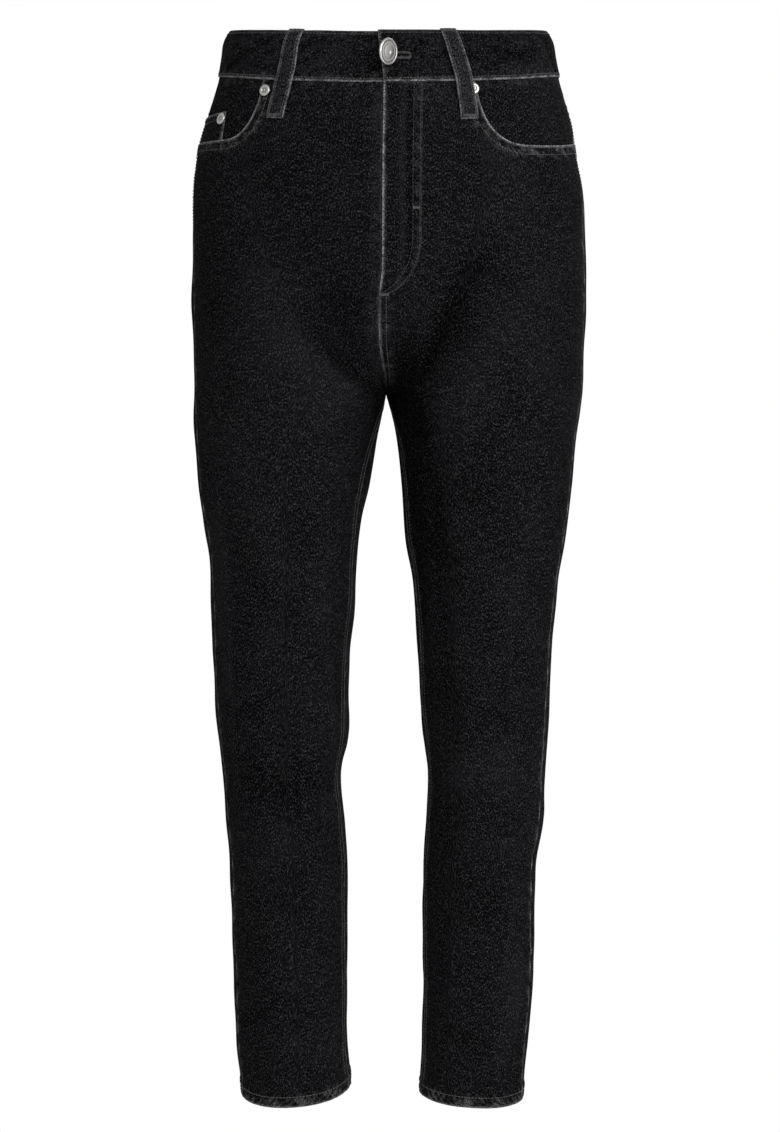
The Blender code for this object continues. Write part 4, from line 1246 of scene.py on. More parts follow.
@dataclass
class Sewing:
    """Stitches gathered for one piece: middles, directions, outward normals, sizes and tones."""

    name: str
    rows: list[tuple[Array, Array, Array, Array]] = field(default_factory=list)

    def run(self, line: Array, out: Array, thread: Thread, seed: int, worn: Values = 1.0) -> None:
        """Adds stitches at even steps along a line.

        Args:
            line: the line's points.
            out: the outward normal at each point.
            thread: the row's sizes.
            seed: the seed for each stitch's small differences.
            worn: how pale the thread is along the line, on top of its own paleness.
        """
        length = np.concatenate([[0], np.cumsum(np.linalg.norm(np.diff(line, axis=0), axis=1))])
        count = int(length[-1] / thread.step)
        if count < 1:
            return
        random = np.random.default_rng(seed)
        at = (np.arange(count) + 0.5) * length[-1] / count
        ends = [at - thread.length / 2, at + thread.length / 2]
        start, end = [np.stack([np.interp(a, length, line[:, k]) for k in range(3)], -1) for a in ends]
        up = np.stack([np.interp(at, length, out[:, k]) for k in range(3)], -1)
        up /= np.linalg.norm(up, axis=1, keepdims=True)
        way = end - start
        if thread.across:
            way = np.cross(up, way)
            way *= thread.length / np.linalg.norm(way, axis=1, keepdims=True)
        way += np.cross(up, way) * random.normal(0, 0.035, size=(count, 1))
        size = np.stack([np.full(count, thread.thick), np.full(count, thread.lift)], -1)
        size[:, 0] *= random.uniform(0.88, 1.12, size=count)
        paleness = np.interp(at, length, np.broadcast_to(worn, length.shape))
        tone = thread.pale * paleness * random.uniform(0.35, 1.5, size=count)
        self.rows.append(((start + end) / 2, way, up, np.column_stack([size, np.clip(tone, 0, 1)])))

    def build(self, material: bpy.types.Material) -> None:
        """One mesh of all the stitches.

        Each stitch is a tube of five rings with five sides, thinner at its ends, which dip into the
        cloth: a point is the middle, plus the way along, plus the ring's radius across and out.
        """
        middle, way, up, size = [np.concatenate(part) for part in zip(*self.rows)]
        across = np.cross(way, up)
        across /= np.linalg.norm(across, axis=1, keepdims=True)
        along = np.array([-0.5, -0.34, 0.0, 0.34, 0.5])
        radius = np.array([0.45, 0.92, 1.0, 0.92, 0.45])
        dip = np.array([-0.55, -0.05, 0.12, -0.05, -0.55])
        turn = np.arange(5) * 2 * math.pi / 5
        thick = size[:, 0, None, None] / 2
        flat = np.sin(turn)[None, None, :] * radius[None, :, None] * thick * 0.8
        wide = np.cos(turn)[None, None, :] * radius[None, :, None] * thick
        height = flat + size[:, 1, None, None] + dip[None, :, None] * thick * 1.6
        points = (
            middle[:, None, None, :]
            + way[:, None, None, :] * along[None, :, None, None]
            + across[:, None, None, :] * wide[..., None]
            + up[:, None, None, :] * height[..., None]
        )
        ring = np.arange(25).reshape(5, 5)
        ring = np.concatenate([ring, ring[:, :1]], axis=1)
        sides = quads(ring)
        caps = np.array([[0, 2, 1], [0, 3, 2], [0, 4, 3], [20, 21, 22], [20, 22, 23], [20, 23, 24]])
        one = np.concatenate([sides[:, [0, 1, 2]], sides[:, [0, 2, 3]], caps])
        count = len(middle)
        faces = (one[None] + 25 * np.arange(count)[:, None, None]).reshape(-1, 3)
        made = make_mesh(self.name, points.reshape(-1, 3), faces, material)
        add_value(made, "tone", np.repeat(size[:, 2], 25))
        dress(made, [])


@dataclass
class Seamstress:
    """Sews rows of stitches along places on the form."""

    form: Form
    seed: int = 100

    def beside(self, side: Side, share: Array, z: Array, aside: float) -> tuple[Array, Array]:
        """Places moved at right angles to a line over the cloth.

        A positive move goes down from a line that runs away from the centre front, and towards the centre
        front from one that runs down. It is solved for share and z from the surface's two steps.

        Args:
            side: the wearer's side.
            share: the line's shares.
            z: the line's heights.
            aside: how far to move, in mm.

        Returns:
            The moved shares and heights.
        """
        if not aside:
            return share, z
        line = self.form.surface(side, share, z)
        tangent = np.gradient(line, axis=0)
        move = np.cross(tangent, self.form.normal(side, share, z))
        move *= side.sign * aside / np.linalg.norm(move, axis=1, keepdims=True)
        step, down = np.where(share > 0.99, -0.002, 0.002), 0.5
        by_share = (self.form.surface(side, share + step, z) - line) / step[:, None]
        by_z = (self.form.surface(side, share, z + down) - line) / down
        a, b, c = (by_share**2).sum(1), (by_share * by_z).sum(1), (by_z**2).sum(1)
        e, f = (move * by_share).sum(1), (move * by_z).sum(1)
        solved = a * c - b * b
        return share + (c * e - b * f) / solved, z + (a * f - b * e) / solved

    def row(
        self,
        sewing: Sewing,
        side: Side,
        share: Array,
        z: Array,
        out: Values,
        aside: float = 0.0,
        thread: Thread = TOPSTITCH,
        worn: Values = 1.0,
    ) -> None:
        """One row of stitches at so many mm out from the form and to one side of a line."""
        share, z = np.broadcast_arrays(np.asarray(share, float), np.asarray(z, float))
        share, z = self.beside(side, share, z, aside)
        self.seed += 1
        line = self.form.off(side, share, z, np.broadcast_to(out, share.shape))
        sewing.run(line, self.form.normal(side, share, z), thread, self.seed, worn)

    def tack(
        self, sewing: Sewing, side: Side, share: float, z: float, out: float, size: float, upright: bool
    ) -> None:
        """A bar tack of this length, upright or level, round one place."""
        half = self.form.share_width(side, share, z, size / 2)
        shares = np.full(6, share) if upright else np.linspace(share - half, share + half, 6)
        heights = np.linspace(z + size / 2, z - size / 2, 6) if upright else np.full(6, z)
        self.row(sewing, side, shares, heights, out, thread=TACK, worn=0.9)


# Front pockets


@dataclass(frozen=True)
class Pocket:
    """A front pocket: where its scoop starts and runs, how deep its facing lies, and x of its rivet."""

    side: Side
    inner_x: float
    low_z: float
    reach: float
    rise: float
    squareness: float
    facing_top: float
    rivet_x: float


POCKETS = {
    R: Pocket(R, -111.0, -85.0, 0.3, 4.0, 2.7, -3.4, -109.0),
    L: Pocket(L, 74.0, -91.5, 0.3, 11.0, 2.4, -1.8, 72.5),
}
WALL = 1.2
LAID_GAP = 0.7
TRIM = 0.00001
TWIN_ROWS = (2.0, 8.0)


@dataclass
class Scoop:
    """The opening of one front pocket."""

    form: Form
    pocket: Pocket
    top_z: float = -35.0
    beyond: float = 13.0
    even_above: float = 4.0
    ramp: float = 28.0

    def __post_init__(self) -> None:
        side = self.pocket.side
        self.start = float(self.form.share_at(side, self.pocket.inner_x, self.top_z))
        self.past = self.form.share_width(side, self.start, self.top_z, self.beyond)

    def edge_z(self, share: Array) -> Array:
        """The scooped edge: the waist seam, then down a rounded quarter and up a little to the outseam."""
        pocket = self.pocket
        top = self.form.waist_seam(self.start)
        way = (share - self.start) / (0.5 - self.start)
        u = np.clip(way / pocket.reach, 0, 1)
        drop = (1 - (1 - u) ** pocket.squareness) ** (1 / pocket.squareness)
        rise = pocket.rise * np.clip((way - pocket.reach) / (1 - pocket.reach), 0, 1) ** 1.5
        scoop = top + (pocket.low_z - top) * drop + rise
        return np.where(share > self.start, scoop, self.form.waist_seam(share))

    def shares(self, steps: int = 26) -> Array:
        """Columns at even turns of the rounded quarter, then on to the outseam."""
        turns = np.linspace(0, math.pi / 2, steps)
        curve = self.pocket.reach * (1 - np.maximum(np.cos(turns), 0) ** (2 / self.pocket.squareness))
        rest = self.pocket.reach + (1 - self.pocket.reach) * graded(66.0, 3.2, first=False)[1:]
        return self.start + (0.5 - TRIM - self.start) * np.concatenate([curve, rest])

    def depth(self, share: Array, z: Array) -> Array:
        """How far out the facing lies: deep under the edge, level with the cloth round its top."""
        above = z - self.edge_z(share)
        return self.pocket.facing_top * (1 - smooth((above - self.even_above) / self.ramp))


@dataclass
class Workroom:
    """What every piece is made with."""

    form: Form
    tailor: Tailor
    seamstress: Seamstress
    finishes: Wardrobe
    scoops: dict[Side, Scoop]

    def piece(
        self,
        node: str,
        cloth: Cloth,
        held: str,
        rests_on: str,
        slot: str = DENIM_SLOT,
        finish: bpy.types.Material | None = None,
        name: str = "",
    ) -> None:
        """One piece of cloth, named after the solid that it stands for unless it has its own name."""
        made = shell(f"{name or node}_cloth", cloth, finish or self.finishes.denim)
        dress(made, [node], cloth)


def stretch(low: float, high: float) -> Callable[[Array], Array]:
    """A rubbed stretch of an edge, from one length along it to another, with soft ends."""
    return lambda along: smooth((along - low) / 12) * (1 - smooth((along - high) / 12))


@dataclass
class LegPanels:
    """The two front and two back legs."""

    room: Workroom
    top_row: float = -28.0
    top_fade: float = -175.0
    hem_fade: float = -800.0
    hem_row: float = -930.0
    hem_height: float = 11.0
    hem_rise: float = 0.4
    hem_wall: float = 2.6
    pitch: float = 3.1

    def heights(
        self, side: Side, shares: Array, top_edge: Callable[[Array], Array]
    ) -> tuple[Array, Array, Array]:
        """A grid whose first row follows the top edge and whose last follows the hem.

        Args:
            side: the wearer's side.
            shares: the columns.
            top_edge: the height of the top edge at each share.

        Returns:
            The shares, the heights, and the nominal height of each row before its edges bend it.
        """
        form = self.room.form
        depth = self.top_row - self.hem_row
        share, nominal = np.meshgrid(shares, self.top_row - depth * graded(depth, self.pitch))
        at_top = 1 - smooth((self.top_row - nominal) / (self.top_row - self.top_fade))
        at_hem = smooth((self.hem_fade - nominal) / (self.hem_fade - self.hem_row))
        top_shift = top_edge(shares) - form.seam_gap / 2 - self.top_row
        hem_shift = form.hem(side, shares, self.hem_row) - self.hem_row
        return share, nominal + at_top * top_shift + at_hem * hem_shift, nominal

    def panel(self, name: str, side: Side, shares: Array, top_edge: Callable, edges: Edges) -> None:
        """One leg panel from its top edge to its hem, whose last stretch is turned up and doubled."""
        room = self.room
        share, z, nominal = self.heights(side, shares, top_edge)
        share = np.where(z <= room.form.crotch_z, np.clip(share, TRIM, 1 - TRIM), share)
        in_hem = smooth((self.hem_row + self.hem_height + 0.8 - nominal) / 1.6)
        wall = WALL + (self.hem_wall - WALL) * in_hem
        cloth = room.tailor.lay(side, share, z, self.hem_rise * in_hem, wall, edges)
        above = "waistband" if name == "front" else f"yoke_{side.value}"
        room.piece(f"{name}_{side.value}", cloth, "hung", above)

    def front(self, side: Side) -> None:
        """A front leg, its top cut away by the pocket opening."""
        form, scoop = self.room.form, self.room.scoops[side]
        centre = scoop.start * graded(100.0, self.pitch, last=False)[:-1]
        shares = np.concatenate([centre, scoop.shares()])
        top = form.surface(side, centre, form.waist_seam(centre))
        waist = float(np.linalg.norm(np.diff(top, axis=0), axis=1).sum())
        at_scoop = stretch(waist + 4, 1e3)

        def scooped(along: Array) -> Array:
            """How deep the puckers are: shallow under the waistband and deep round the scoop."""
            return 0.1 + 0.3 * at_scoop(along)

        edges = Edges(
            top=Edge(rub=stretch(waist - 4, 1e3), pull=scooped, pitch=4.4, reach=9.5, skew=0.4),
            low=Edge(rub=0.7, pull=0.5, pitch=4.6, reach=9.0, skew=1.1),
            first=Edge(
                rub=(lambda along: 0.22 + 0.6 * stretch(200, 262)(along)) if side is L else 0.1,
                pull=0.2 if side is L else 0.06,
                pitch=8.0,
                reach=9.0,
                layered=ALLOWANCE,
            ),
            last=Edge(rub=lambda along: 0.16 + 0.2 * self.room.tailor.strength(along), pull=0.14, pitch=9.0),
        )
        self.panel("front", side, shares, scoop.edge_z, edges)

    def yoke_edge(self, share: Array) -> Array:
        """The slanting seam between a yoke and a back leg."""
        run = np.clip(share * 2 - 1, 0, 1)
        return self.room.form.waist_seam(share) - 34.0 - 30.0 * run

    def back_shares(self) -> Array:
        """Columns from the outseam to the centre back."""
        return 0.5 + TRIM + (0.5 - TRIM) * graded(215.0, self.pitch)

    def back(self, side: Side) -> None:
        """A back leg, from the yoke down."""
        seam = Edge(rub=0.3, pull=0.12, pitch=8.0, reach=9.0, layered=ALLOWANCE if side is L else 0.0)
        edges = Edges(
            top=Edge(rub=0.25, pull=0.12, pitch=8.0),
            low=Edge(rub=0.7, pull=0.5, pitch=4.6, reach=9.0, skew=-1.1),
            first=Edge(
                rub=lambda along: 0.3 + 0.25 * self.room.tailor.strength(along + 90), pull=0.14, pitch=9.0
            ),
            last=seam,
        )
        self.panel("back", side, self.back_shares(), self.yoke_edge, edges)

    def yoke(self, side: Side) -> None:
        """The slanting piece between the waistband and a back leg."""
        room = self.room
        down = graded(50.0, 2.4)
        share, down = np.meshgrid(self.back_shares(), down)
        top = room.form.waist_seam(share) - room.form.seam_gap / 2
        low = self.yoke_edge(share) + room.form.seam_gap / 2
        edges = Edges(
            top=Edge(rub=0.1, pull=0.15),
            low=Edge(rub=0.4, pull=0.22, pitch=7.5, reach=9.0, layered=ALLOWANCE),
            first=Edge(rub=0.3, pull=0.12),
            last=Edge(rub=0.3, pull=0.18, layered=ALLOWANCE if side is L else 0.0),
        )
        cloth = room.tailor.lay(side, share, top + (low - top) * down, 0.0, WALL, edges)
        room.piece(f"yoke_{side.value}", cloth, "hung", "waistband")

    def sew_hem(self, sewing: Sewing, side: Side) -> None:
        """One row round the hem, a little below where its turned-up edge ends."""
        share = np.linspace(0, 1, 260)
        z = self.room.form.hem(side, share, self.hem_row) + 9.4
        self.room.seamstress.row(sewing, side, share, z, self.hem_rise + 0.1, worn=2.6)

    def sew(self) -> None:
        """The rows on the legs: inseams, centre seams, yokes, outseams and hems."""
        form, by_hand = self.room.form, self.room.seamstress
        legs, hems = Sewing("leg_seam_stitching"), Sewing("hem_stitching")
        for side in Side:
            hem = float(form.hem(side, np.array([TRIM]), self.hem_row)[0])
            down = np.linspace(form.crotch_z - 18, hem + 13, 220)
            for inset in (1.8, 8.0):
                by_hand.row(legs, side, TRIM, down, RIDGE, -inset, worn=0.8)
            share = np.linspace(0.5, 1, 90)
            for inset in TWIN_ROWS:
                by_hand.row(legs, side, share, self.yoke_edge(share) + 0.15, RIDGE, -inset)
            top, low = float(self.yoke_edge(np.array([0.5]))[0]), -178.0
            by_hand.row(legs, side, 0.5 + TRIM, np.linspace(top - 2, low, 40), 0.1, -2.2)
            by_hand.tack(legs, side, 0.5 + TRIM, low, 0.2, 9.0, True)
            pocket_end = float(self.room.scoops[side].edge_z(np.array([0.499]))[0])
            by_hand.tack(legs, side, 0.4985, pocket_end - 7, 0.3, 13.0, True)
            self.sew_hem(hems, side)
        back = np.linspace(float(form.waist_seam(1.0)) - 2, form.crotch_z + 6, 120)
        front = np.linspace(-226, form.crotch_z + 6, 60)
        for inset in TWIN_ROWS:
            by_hand.row(legs, L, 1.0, back, RIDGE, inset)
            by_hand.row(legs, L, 0.0, front, RIDGE, -inset, worn=1.3)
        legs.build(self.room.finishes.thread)
        hems.build(self.room.finishes.thread)

    def make(self) -> None:
        """Every leg piece and its sewing."""
        for side in Side:
            self.front(side)
            self.back(side)
            self.yoke(side)
        self.sew()


@dataclass
class PocketWork:
    """Facings, the coin pocket and the back pockets."""

    room: Workroom
    coin_top_z: float = -60.0
    coin_lift: float = 0.5
    back_top: float = -98.0
    back_side: float = 120.0
    back_point: float = 20.0
    back_taper: float = 0.10

    def facing(self, side: Side) -> None:
        """The denim seen inside a front pocket opening."""
        room, scoop = self.room, self.room.scoops[side]
        shares = np.concatenate([scoop.start - scoop.past * np.linspace(1, 0.2, 5), scoop.shares(16)])
        share, down = np.meshgrid(shares, graded(70.0, 2.6))
        top = room.form.waist_seam(share) - room.form.seam_gap / 2
        low = scoop.edge_z(np.minimum(share + scoop.past, 0.5)) - scoop.beyond
        z = top + (low - top) * down
        edges = Edges(top=Edge(rub=0.0, pull=0.1), last=Edge(rub=0.25, pull=0.1))
        cloth = room.tailor.lay(side, share, z, scoop.depth(share, z), WALL, edges)
        # The right facing takes the darker copy of the denim, which is painted shade
        finish = room.finishes.facing if side is R else room.finishes.denim
        node, name = f"pocket_facing_{side.value}", f"facing_{side.value}"
        room.piece(node, cloth, "hung", "waistband", finish=finish, name=name)

    def coin_out(self, share: Array, z: Array) -> Array:
        """How far out the coin pocket's face is, on its facing."""
        return self.room.scoops[R].depth(share, z) + WALL + self.coin_lift

    def coin_pocket(self, sewing: Sewing) -> None:
        """The small pocket on the right facing, its mouth above the scooped edge."""
        room, scoop, by_hand = self.room, self.room.scoops[R], self.room.seamstress
        inner = float(room.form.share_at(R, -143.5, self.coin_top_z))
        lean = float(room.form.share_at(R, -150.0, -85.0)) - inner
        across, down = np.meshgrid(graded(30.0, 1.8), graded(34.0, 1.6))
        share = (inner + lean * down) * (1 - across) + (0.5 - TRIM) * across
        low = scoop.edge_z(share) - 10.0
        z = self.coin_top_z + (low - self.coin_top_z) * down
        edges = Edges(
            top=Edge(rub=0.75, pull=0.16, pitch=6.0, reach=6.0),
            first=Edge(rub=0.45, pull=0.16, pitch=6.0, reach=5.0),
            last=Edge(rub=0.2),
        )
        cloth = room.tailor.lay(R, share, z, self.coin_out(share, z), WALL, edges)
        room.piece("coin_pocket", cloth, "laid", "pocket_facing_right")
        mouth = share[0]
        for inset in (2.0, 6.5):
            out = self.coin_out(mouth, np.full(mouth.shape, self.coin_top_z - inset))
            by_hand.row(sewing, R, mouth, self.coin_top_z, out, inset, worn=1.3)
        out = self.coin_out(share[:, 0], z[:, 0])
        by_hand.row(sewing, R, share[2:, 0], z[2:, 0], out[2:], -1.8)

    def back_pocket(self, side: Side, sewing: Sewing) -> None:
        """A plain patch pocket with a pointed foot."""
        room, by_hand = self.room, self.room.seamstress
        middle = self.back_top - self.back_side / 2
        inner = float(room.form.share_at(side, side.sign * 36.0, middle, back=True))
        outer = float(room.form.share_at(side, side.sign * 148.0, middle, back=True))
        taper = (inner - outer) * self.back_taper / 2
        across, down = np.meshgrid(graded(120.0, 2.4), graded(135.0, 2.4))
        foot = self.back_top - self.back_side - self.back_point * (1 - np.abs(2 * across - 1))
        z = self.back_top + (foot - self.back_top) * down
        narrow = taper * (self.back_top - z) / self.back_side
        share = (outer + narrow) * (1 - across) + (inner - narrow) * across
        stitched = Edge(rub=0.42, pull=0.2, pitch=7.0, reach=8.0, sink=0.5)
        edges = Edges(top=Edge(rub=0.5, pull=0.12, layered=14.0), low=stitched, first=stitched, last=stitched)
        cloth = room.tailor.lay(side, share, z, WALL + LAID_GAP, WALL, edges)
        room.piece(f"back_pocket_{side.value}", cloth, "laid", f"back_{side.value}")
        out = WALL + LAID_GAP - 0.35
        half = across.shape[1] // 2
        for inset in TWIN_ROWS:
            by_hand.row(sewing, side, share[3:, 0], z[3:, 0], out, -inset)
            by_hand.row(sewing, side, share[3:, -1], z[3:, -1], out, inset)
            by_hand.row(sewing, side, share[-1, 3 : half + 1], z[-1, 3 : half + 1], out, -inset)
            by_hand.row(sewing, side, share[-1, half:-3], z[-1, half:-3], out, -inset)
        for inset in (2.2, 13.0):
            by_hand.row(sewing, side, share[0, 2:-2], z[0, 2:-2], out + 0.3, inset)
        for column in (2, -3):
            by_hand.tack(sewing, side, float(share[3, column]), self.back_top - 5, out + 0.1, 9.0, True)

    def sew_scoop(self, side: Side, sewing: Sewing) -> None:
        """The two rows along the pocket opening."""
        scoop, by_hand = self.room.scoops[side], self.room.seamstress
        share = scoop.shares(60)[1:]
        z = scoop.edge_z(share) - 0.15
        for inset, pale in ((2.0, 1.1), (8.2, 1.0)):
            by_hand.row(sewing, side, share, z, 0.06, inset, worn=pale)

    def make(self) -> None:
        """Every pocket piece and its sewing."""
        sewing = Sewing("pocket_stitching")
        for side in Side:
            self.facing(side)
            self.back_pocket(side, sewing)
            self.sew_scoop(side, sewing)
        self.coin_pocket(sewing)
        sewing.build(self.room.finishes.thread)


# Waistband and fly


@dataclass
class Waistband:
    """One strip from the underlap, round the waist and over its own start, with a buttonhole in it."""

    room: Workroom
    out: float = 1.3
    inside: float = -1.2
    lap: float = 1.4
    lap_ramp: float = 0.12
    underlap_x: float = 30.0
    girth: float = 395.0
    button_x: float = -1.5
    button_z: float = -17.0
    eyelet: float = 4.4
    tail: float = 13.5
    half_width: float = 1.3
    height: float = 44.0
    top_inset: float = 3.4
    low_inset: float = 3.0
    drag_scale: float = 1.7
    drag_painted_shade: float = 2.4
    mottle_tone: float = 0.9
    mottle_slant: float = 0.9
    mottle_pitch: float = 6.0

    def __post_init__(self) -> None:
        self.under_end = float(self.room.form.share_at(L, self.underlap_x, self.button_z))

    def lap_at(self, side: Side, share: Array) -> Array:
        """How far the band stands out or in, so that its two ends clear each other."""
        share = np.asarray(share, float)
        if side is R:
            return -self.lap * (1 - smooth(share / self.lap_ramp))
        return self.lap * smooth((self.under_end + self.lap_ramp - share) / self.lap_ramp)

    def drag(self, side: Side, share: Array, z: Array) -> Array:
        """The drag creases in the band, which die away at its two seams."""
        form = self.room.form
        push = form.crease_push(BAND_CREASES, side, share, z, np.float64(self.girth))
        down = (form.level(form.top, share) - z) / self.height
        return self.drag_scale * push * smooth(down * 4) * smooth((1 - down) * 5)

    def out_at(self, side: Side, share: Array, z: Array) -> Array:
        """How far out the band's face is."""
        return self.out + self.lap_at(side, share) + self.drag(side, share, z)

    def strip(self) -> tuple[Array, Array, Array, Array]:
        """The band's places: points of the form, normals, how far out the face is, and its creases."""
        form = self.room.form
        half = graded(self.girth, 2.0)
        first = graded(self.girth, 2.0, last=False)
        stations = [
            (L, self.under_end + (0.02 - self.under_end) * np.linspace(0, 1, 20), -self.lap),
            (R, first, None),
            (L, 1 - half[1:], None),
        ]
        rows = graded(self.height, 1.6)[:, None]
        parts = []
        for side, share, lap in stations:
            top = form.level(form.top, share)
            low = form.waist_seam(share) + form.seam_gap / 2
            z = top + (low - top) * rows
            share = share + np.zeros_like(z)
            out = np.full(z.shape, self.out + lap) if lap else self.out_at(side, share, z)
            raised = 0 * z if lap else self.drag(side, share, z)
            parts.append((form.surface(side, share, z), form.normal(side, share, z), out, raised))
        base, normal, out, raised = (np.concatenate(part, axis=1) for part in zip(*parts))
        return base, normal, out, raised

    def keyhole(self, grow: float = 0.0) -> tuple[Array, Array]:
        """The buttonhole's outline as shares and heights: a round eye and a narrow tail.

        Args:
            grow: how far outside the cut the outline runs, in mm.

        Returns:
            The shares and heights round it.
        """
        turns = np.linspace(0.3 + 0.2 * bool(grow), 2 * math.pi - 0.3 - 0.2 * bool(grow), 34)
        eye = self.eyelet + grow
        x = np.concatenate([eye * np.cos(turns), np.linspace(eye, self.eyelet + self.tail + grow, 12)])
        z = np.concatenate([eye * np.sin(turns), np.full(12, -self.half_width - grow)])
        end = self.eyelet + self.tail + grow
        x = np.concatenate([x, np.linspace(end, eye, 12)])
        z = np.concatenate([z, np.full(12, self.half_width + grow)])
        return self.room.form.share_at(L, self.button_x + x, self.button_z), self.button_z + z

    def cut_buttonhole(self, band: bpy.types.Object) -> None:
        """Cuts the keyhole through the outer end of the band only, and removes the cutter."""
        form = self.room.form
        share, z = self.keyhole()
        high = form.off(L, share, z, np.full(share.shape, self.out + self.lap + 1.5))
        low = form.off(L, share, z, np.full(share.shape, self.inside + self.lap - 0.12))
        count = len(share)
        around = np.arange(count)
        after = np.roll(around, -1)
        faces = [[a, b, b + count, a + count] for a, b in zip(around.tolist(), after.tolist())]
        faces += [around[::-1].tolist(), (around + count).tolist()]
        mesh = bpy.data.meshes.new("keyhole_cutter")
        mesh.from_pydata((np.concatenate([high, low]) * MM).tolist(), [], faces)
        cutter = bpy.data.objects.new("keyhole_cutter", mesh)
        bpy.context.scene.collection.objects.link(cutter)
        cut = band.modifiers.new("buttonhole", "BOOLEAN")
        cut.operation = "DIFFERENCE"
        cut.solver = "EXACT"
        cut.object = cutter
        graph = bpy.context.evaluated_depsgraph_get()
        done = bpy.data.meshes.new_from_object(band.evaluated_get(graph))
        band.modifiers.clear()
        band.data = done
        bpy.data.objects.remove(cutter)

    def sew(self) -> None:
        """Rows along both edges and down the outer end, and the buttonhole's close stitches."""
        form, by_hand = self.room.form, self.room.seamstress
        sewing = Sewing("waistband_stitching")
        for side in Side:
            share = np.linspace(0.002 if side is L else 0.0, 1, 240)
            top = form.level(form.top, share) - self.top_inset
            low = form.waist_seam(share) + self.low_inset
            by_hand.row(sewing, side, share, top, self.out_at(side, share, top))
            by_hand.row(sewing, side, share, low, self.out_at(side, share, low), worn=1.2)
        first = float(form.level(form.top, 0.0)) - self.top_inset
        z = np.linspace(first, float(form.waist_seam(0.0)) + self.low_inset, 20)
        by_hand.row(sewing, L, 0.0, z, self.out_at(L, np.zeros(20), z), -2.4, worn=1.2)
        share, z = self.keyhole(grow=1.0)
        by_hand.row(sewing, L, share, z, self.out + self.lap, thread=BUTTONHOLE_STITCH)
        sewing.build(self.room.finishes.thread)

    def make(self) -> None:
        """The band, its buttonhole and its sewing."""
        base, normal, out, raised = self.strip()
        edges = Edges(
            top=Edge(rub=0.3, rub_width=1.6, pull=0.1, pitch=9.0, reach=5.0),
            low=Edge(rub=0.75, pull=0.12, pitch=7.0, reach=6.0),
            first=Edge(rub=0.0),
            last=Edge(rub=0.75, pull=0.14, pitch=7.0, reach=5.0),
        )
        wall = self.out - self.inside
        along, z = Cloth.steps(base, 1), base[..., 2]
        slant = self.mottle_slant * z
        mottle = Ripple(seed=61, pitch=self.mottle_pitch, dims=2)(along + slant, (along - slant) / 3)
        # Painted shade and highlight on the drag creases, plus the band's own random mottle, for its tone
        shade = self.drag_painted_shade * raised + self.mottle_tone * mottle
        cloth = self.room.tailor.finish(base, normal, out, wall, edges, 0.9, shade)
        made = shell("waistband_cloth", cloth, self.room.finishes.denim)
        self.cut_buttonhole(made)
        dress(made, ["waistband"], cloth)
        self.sew()


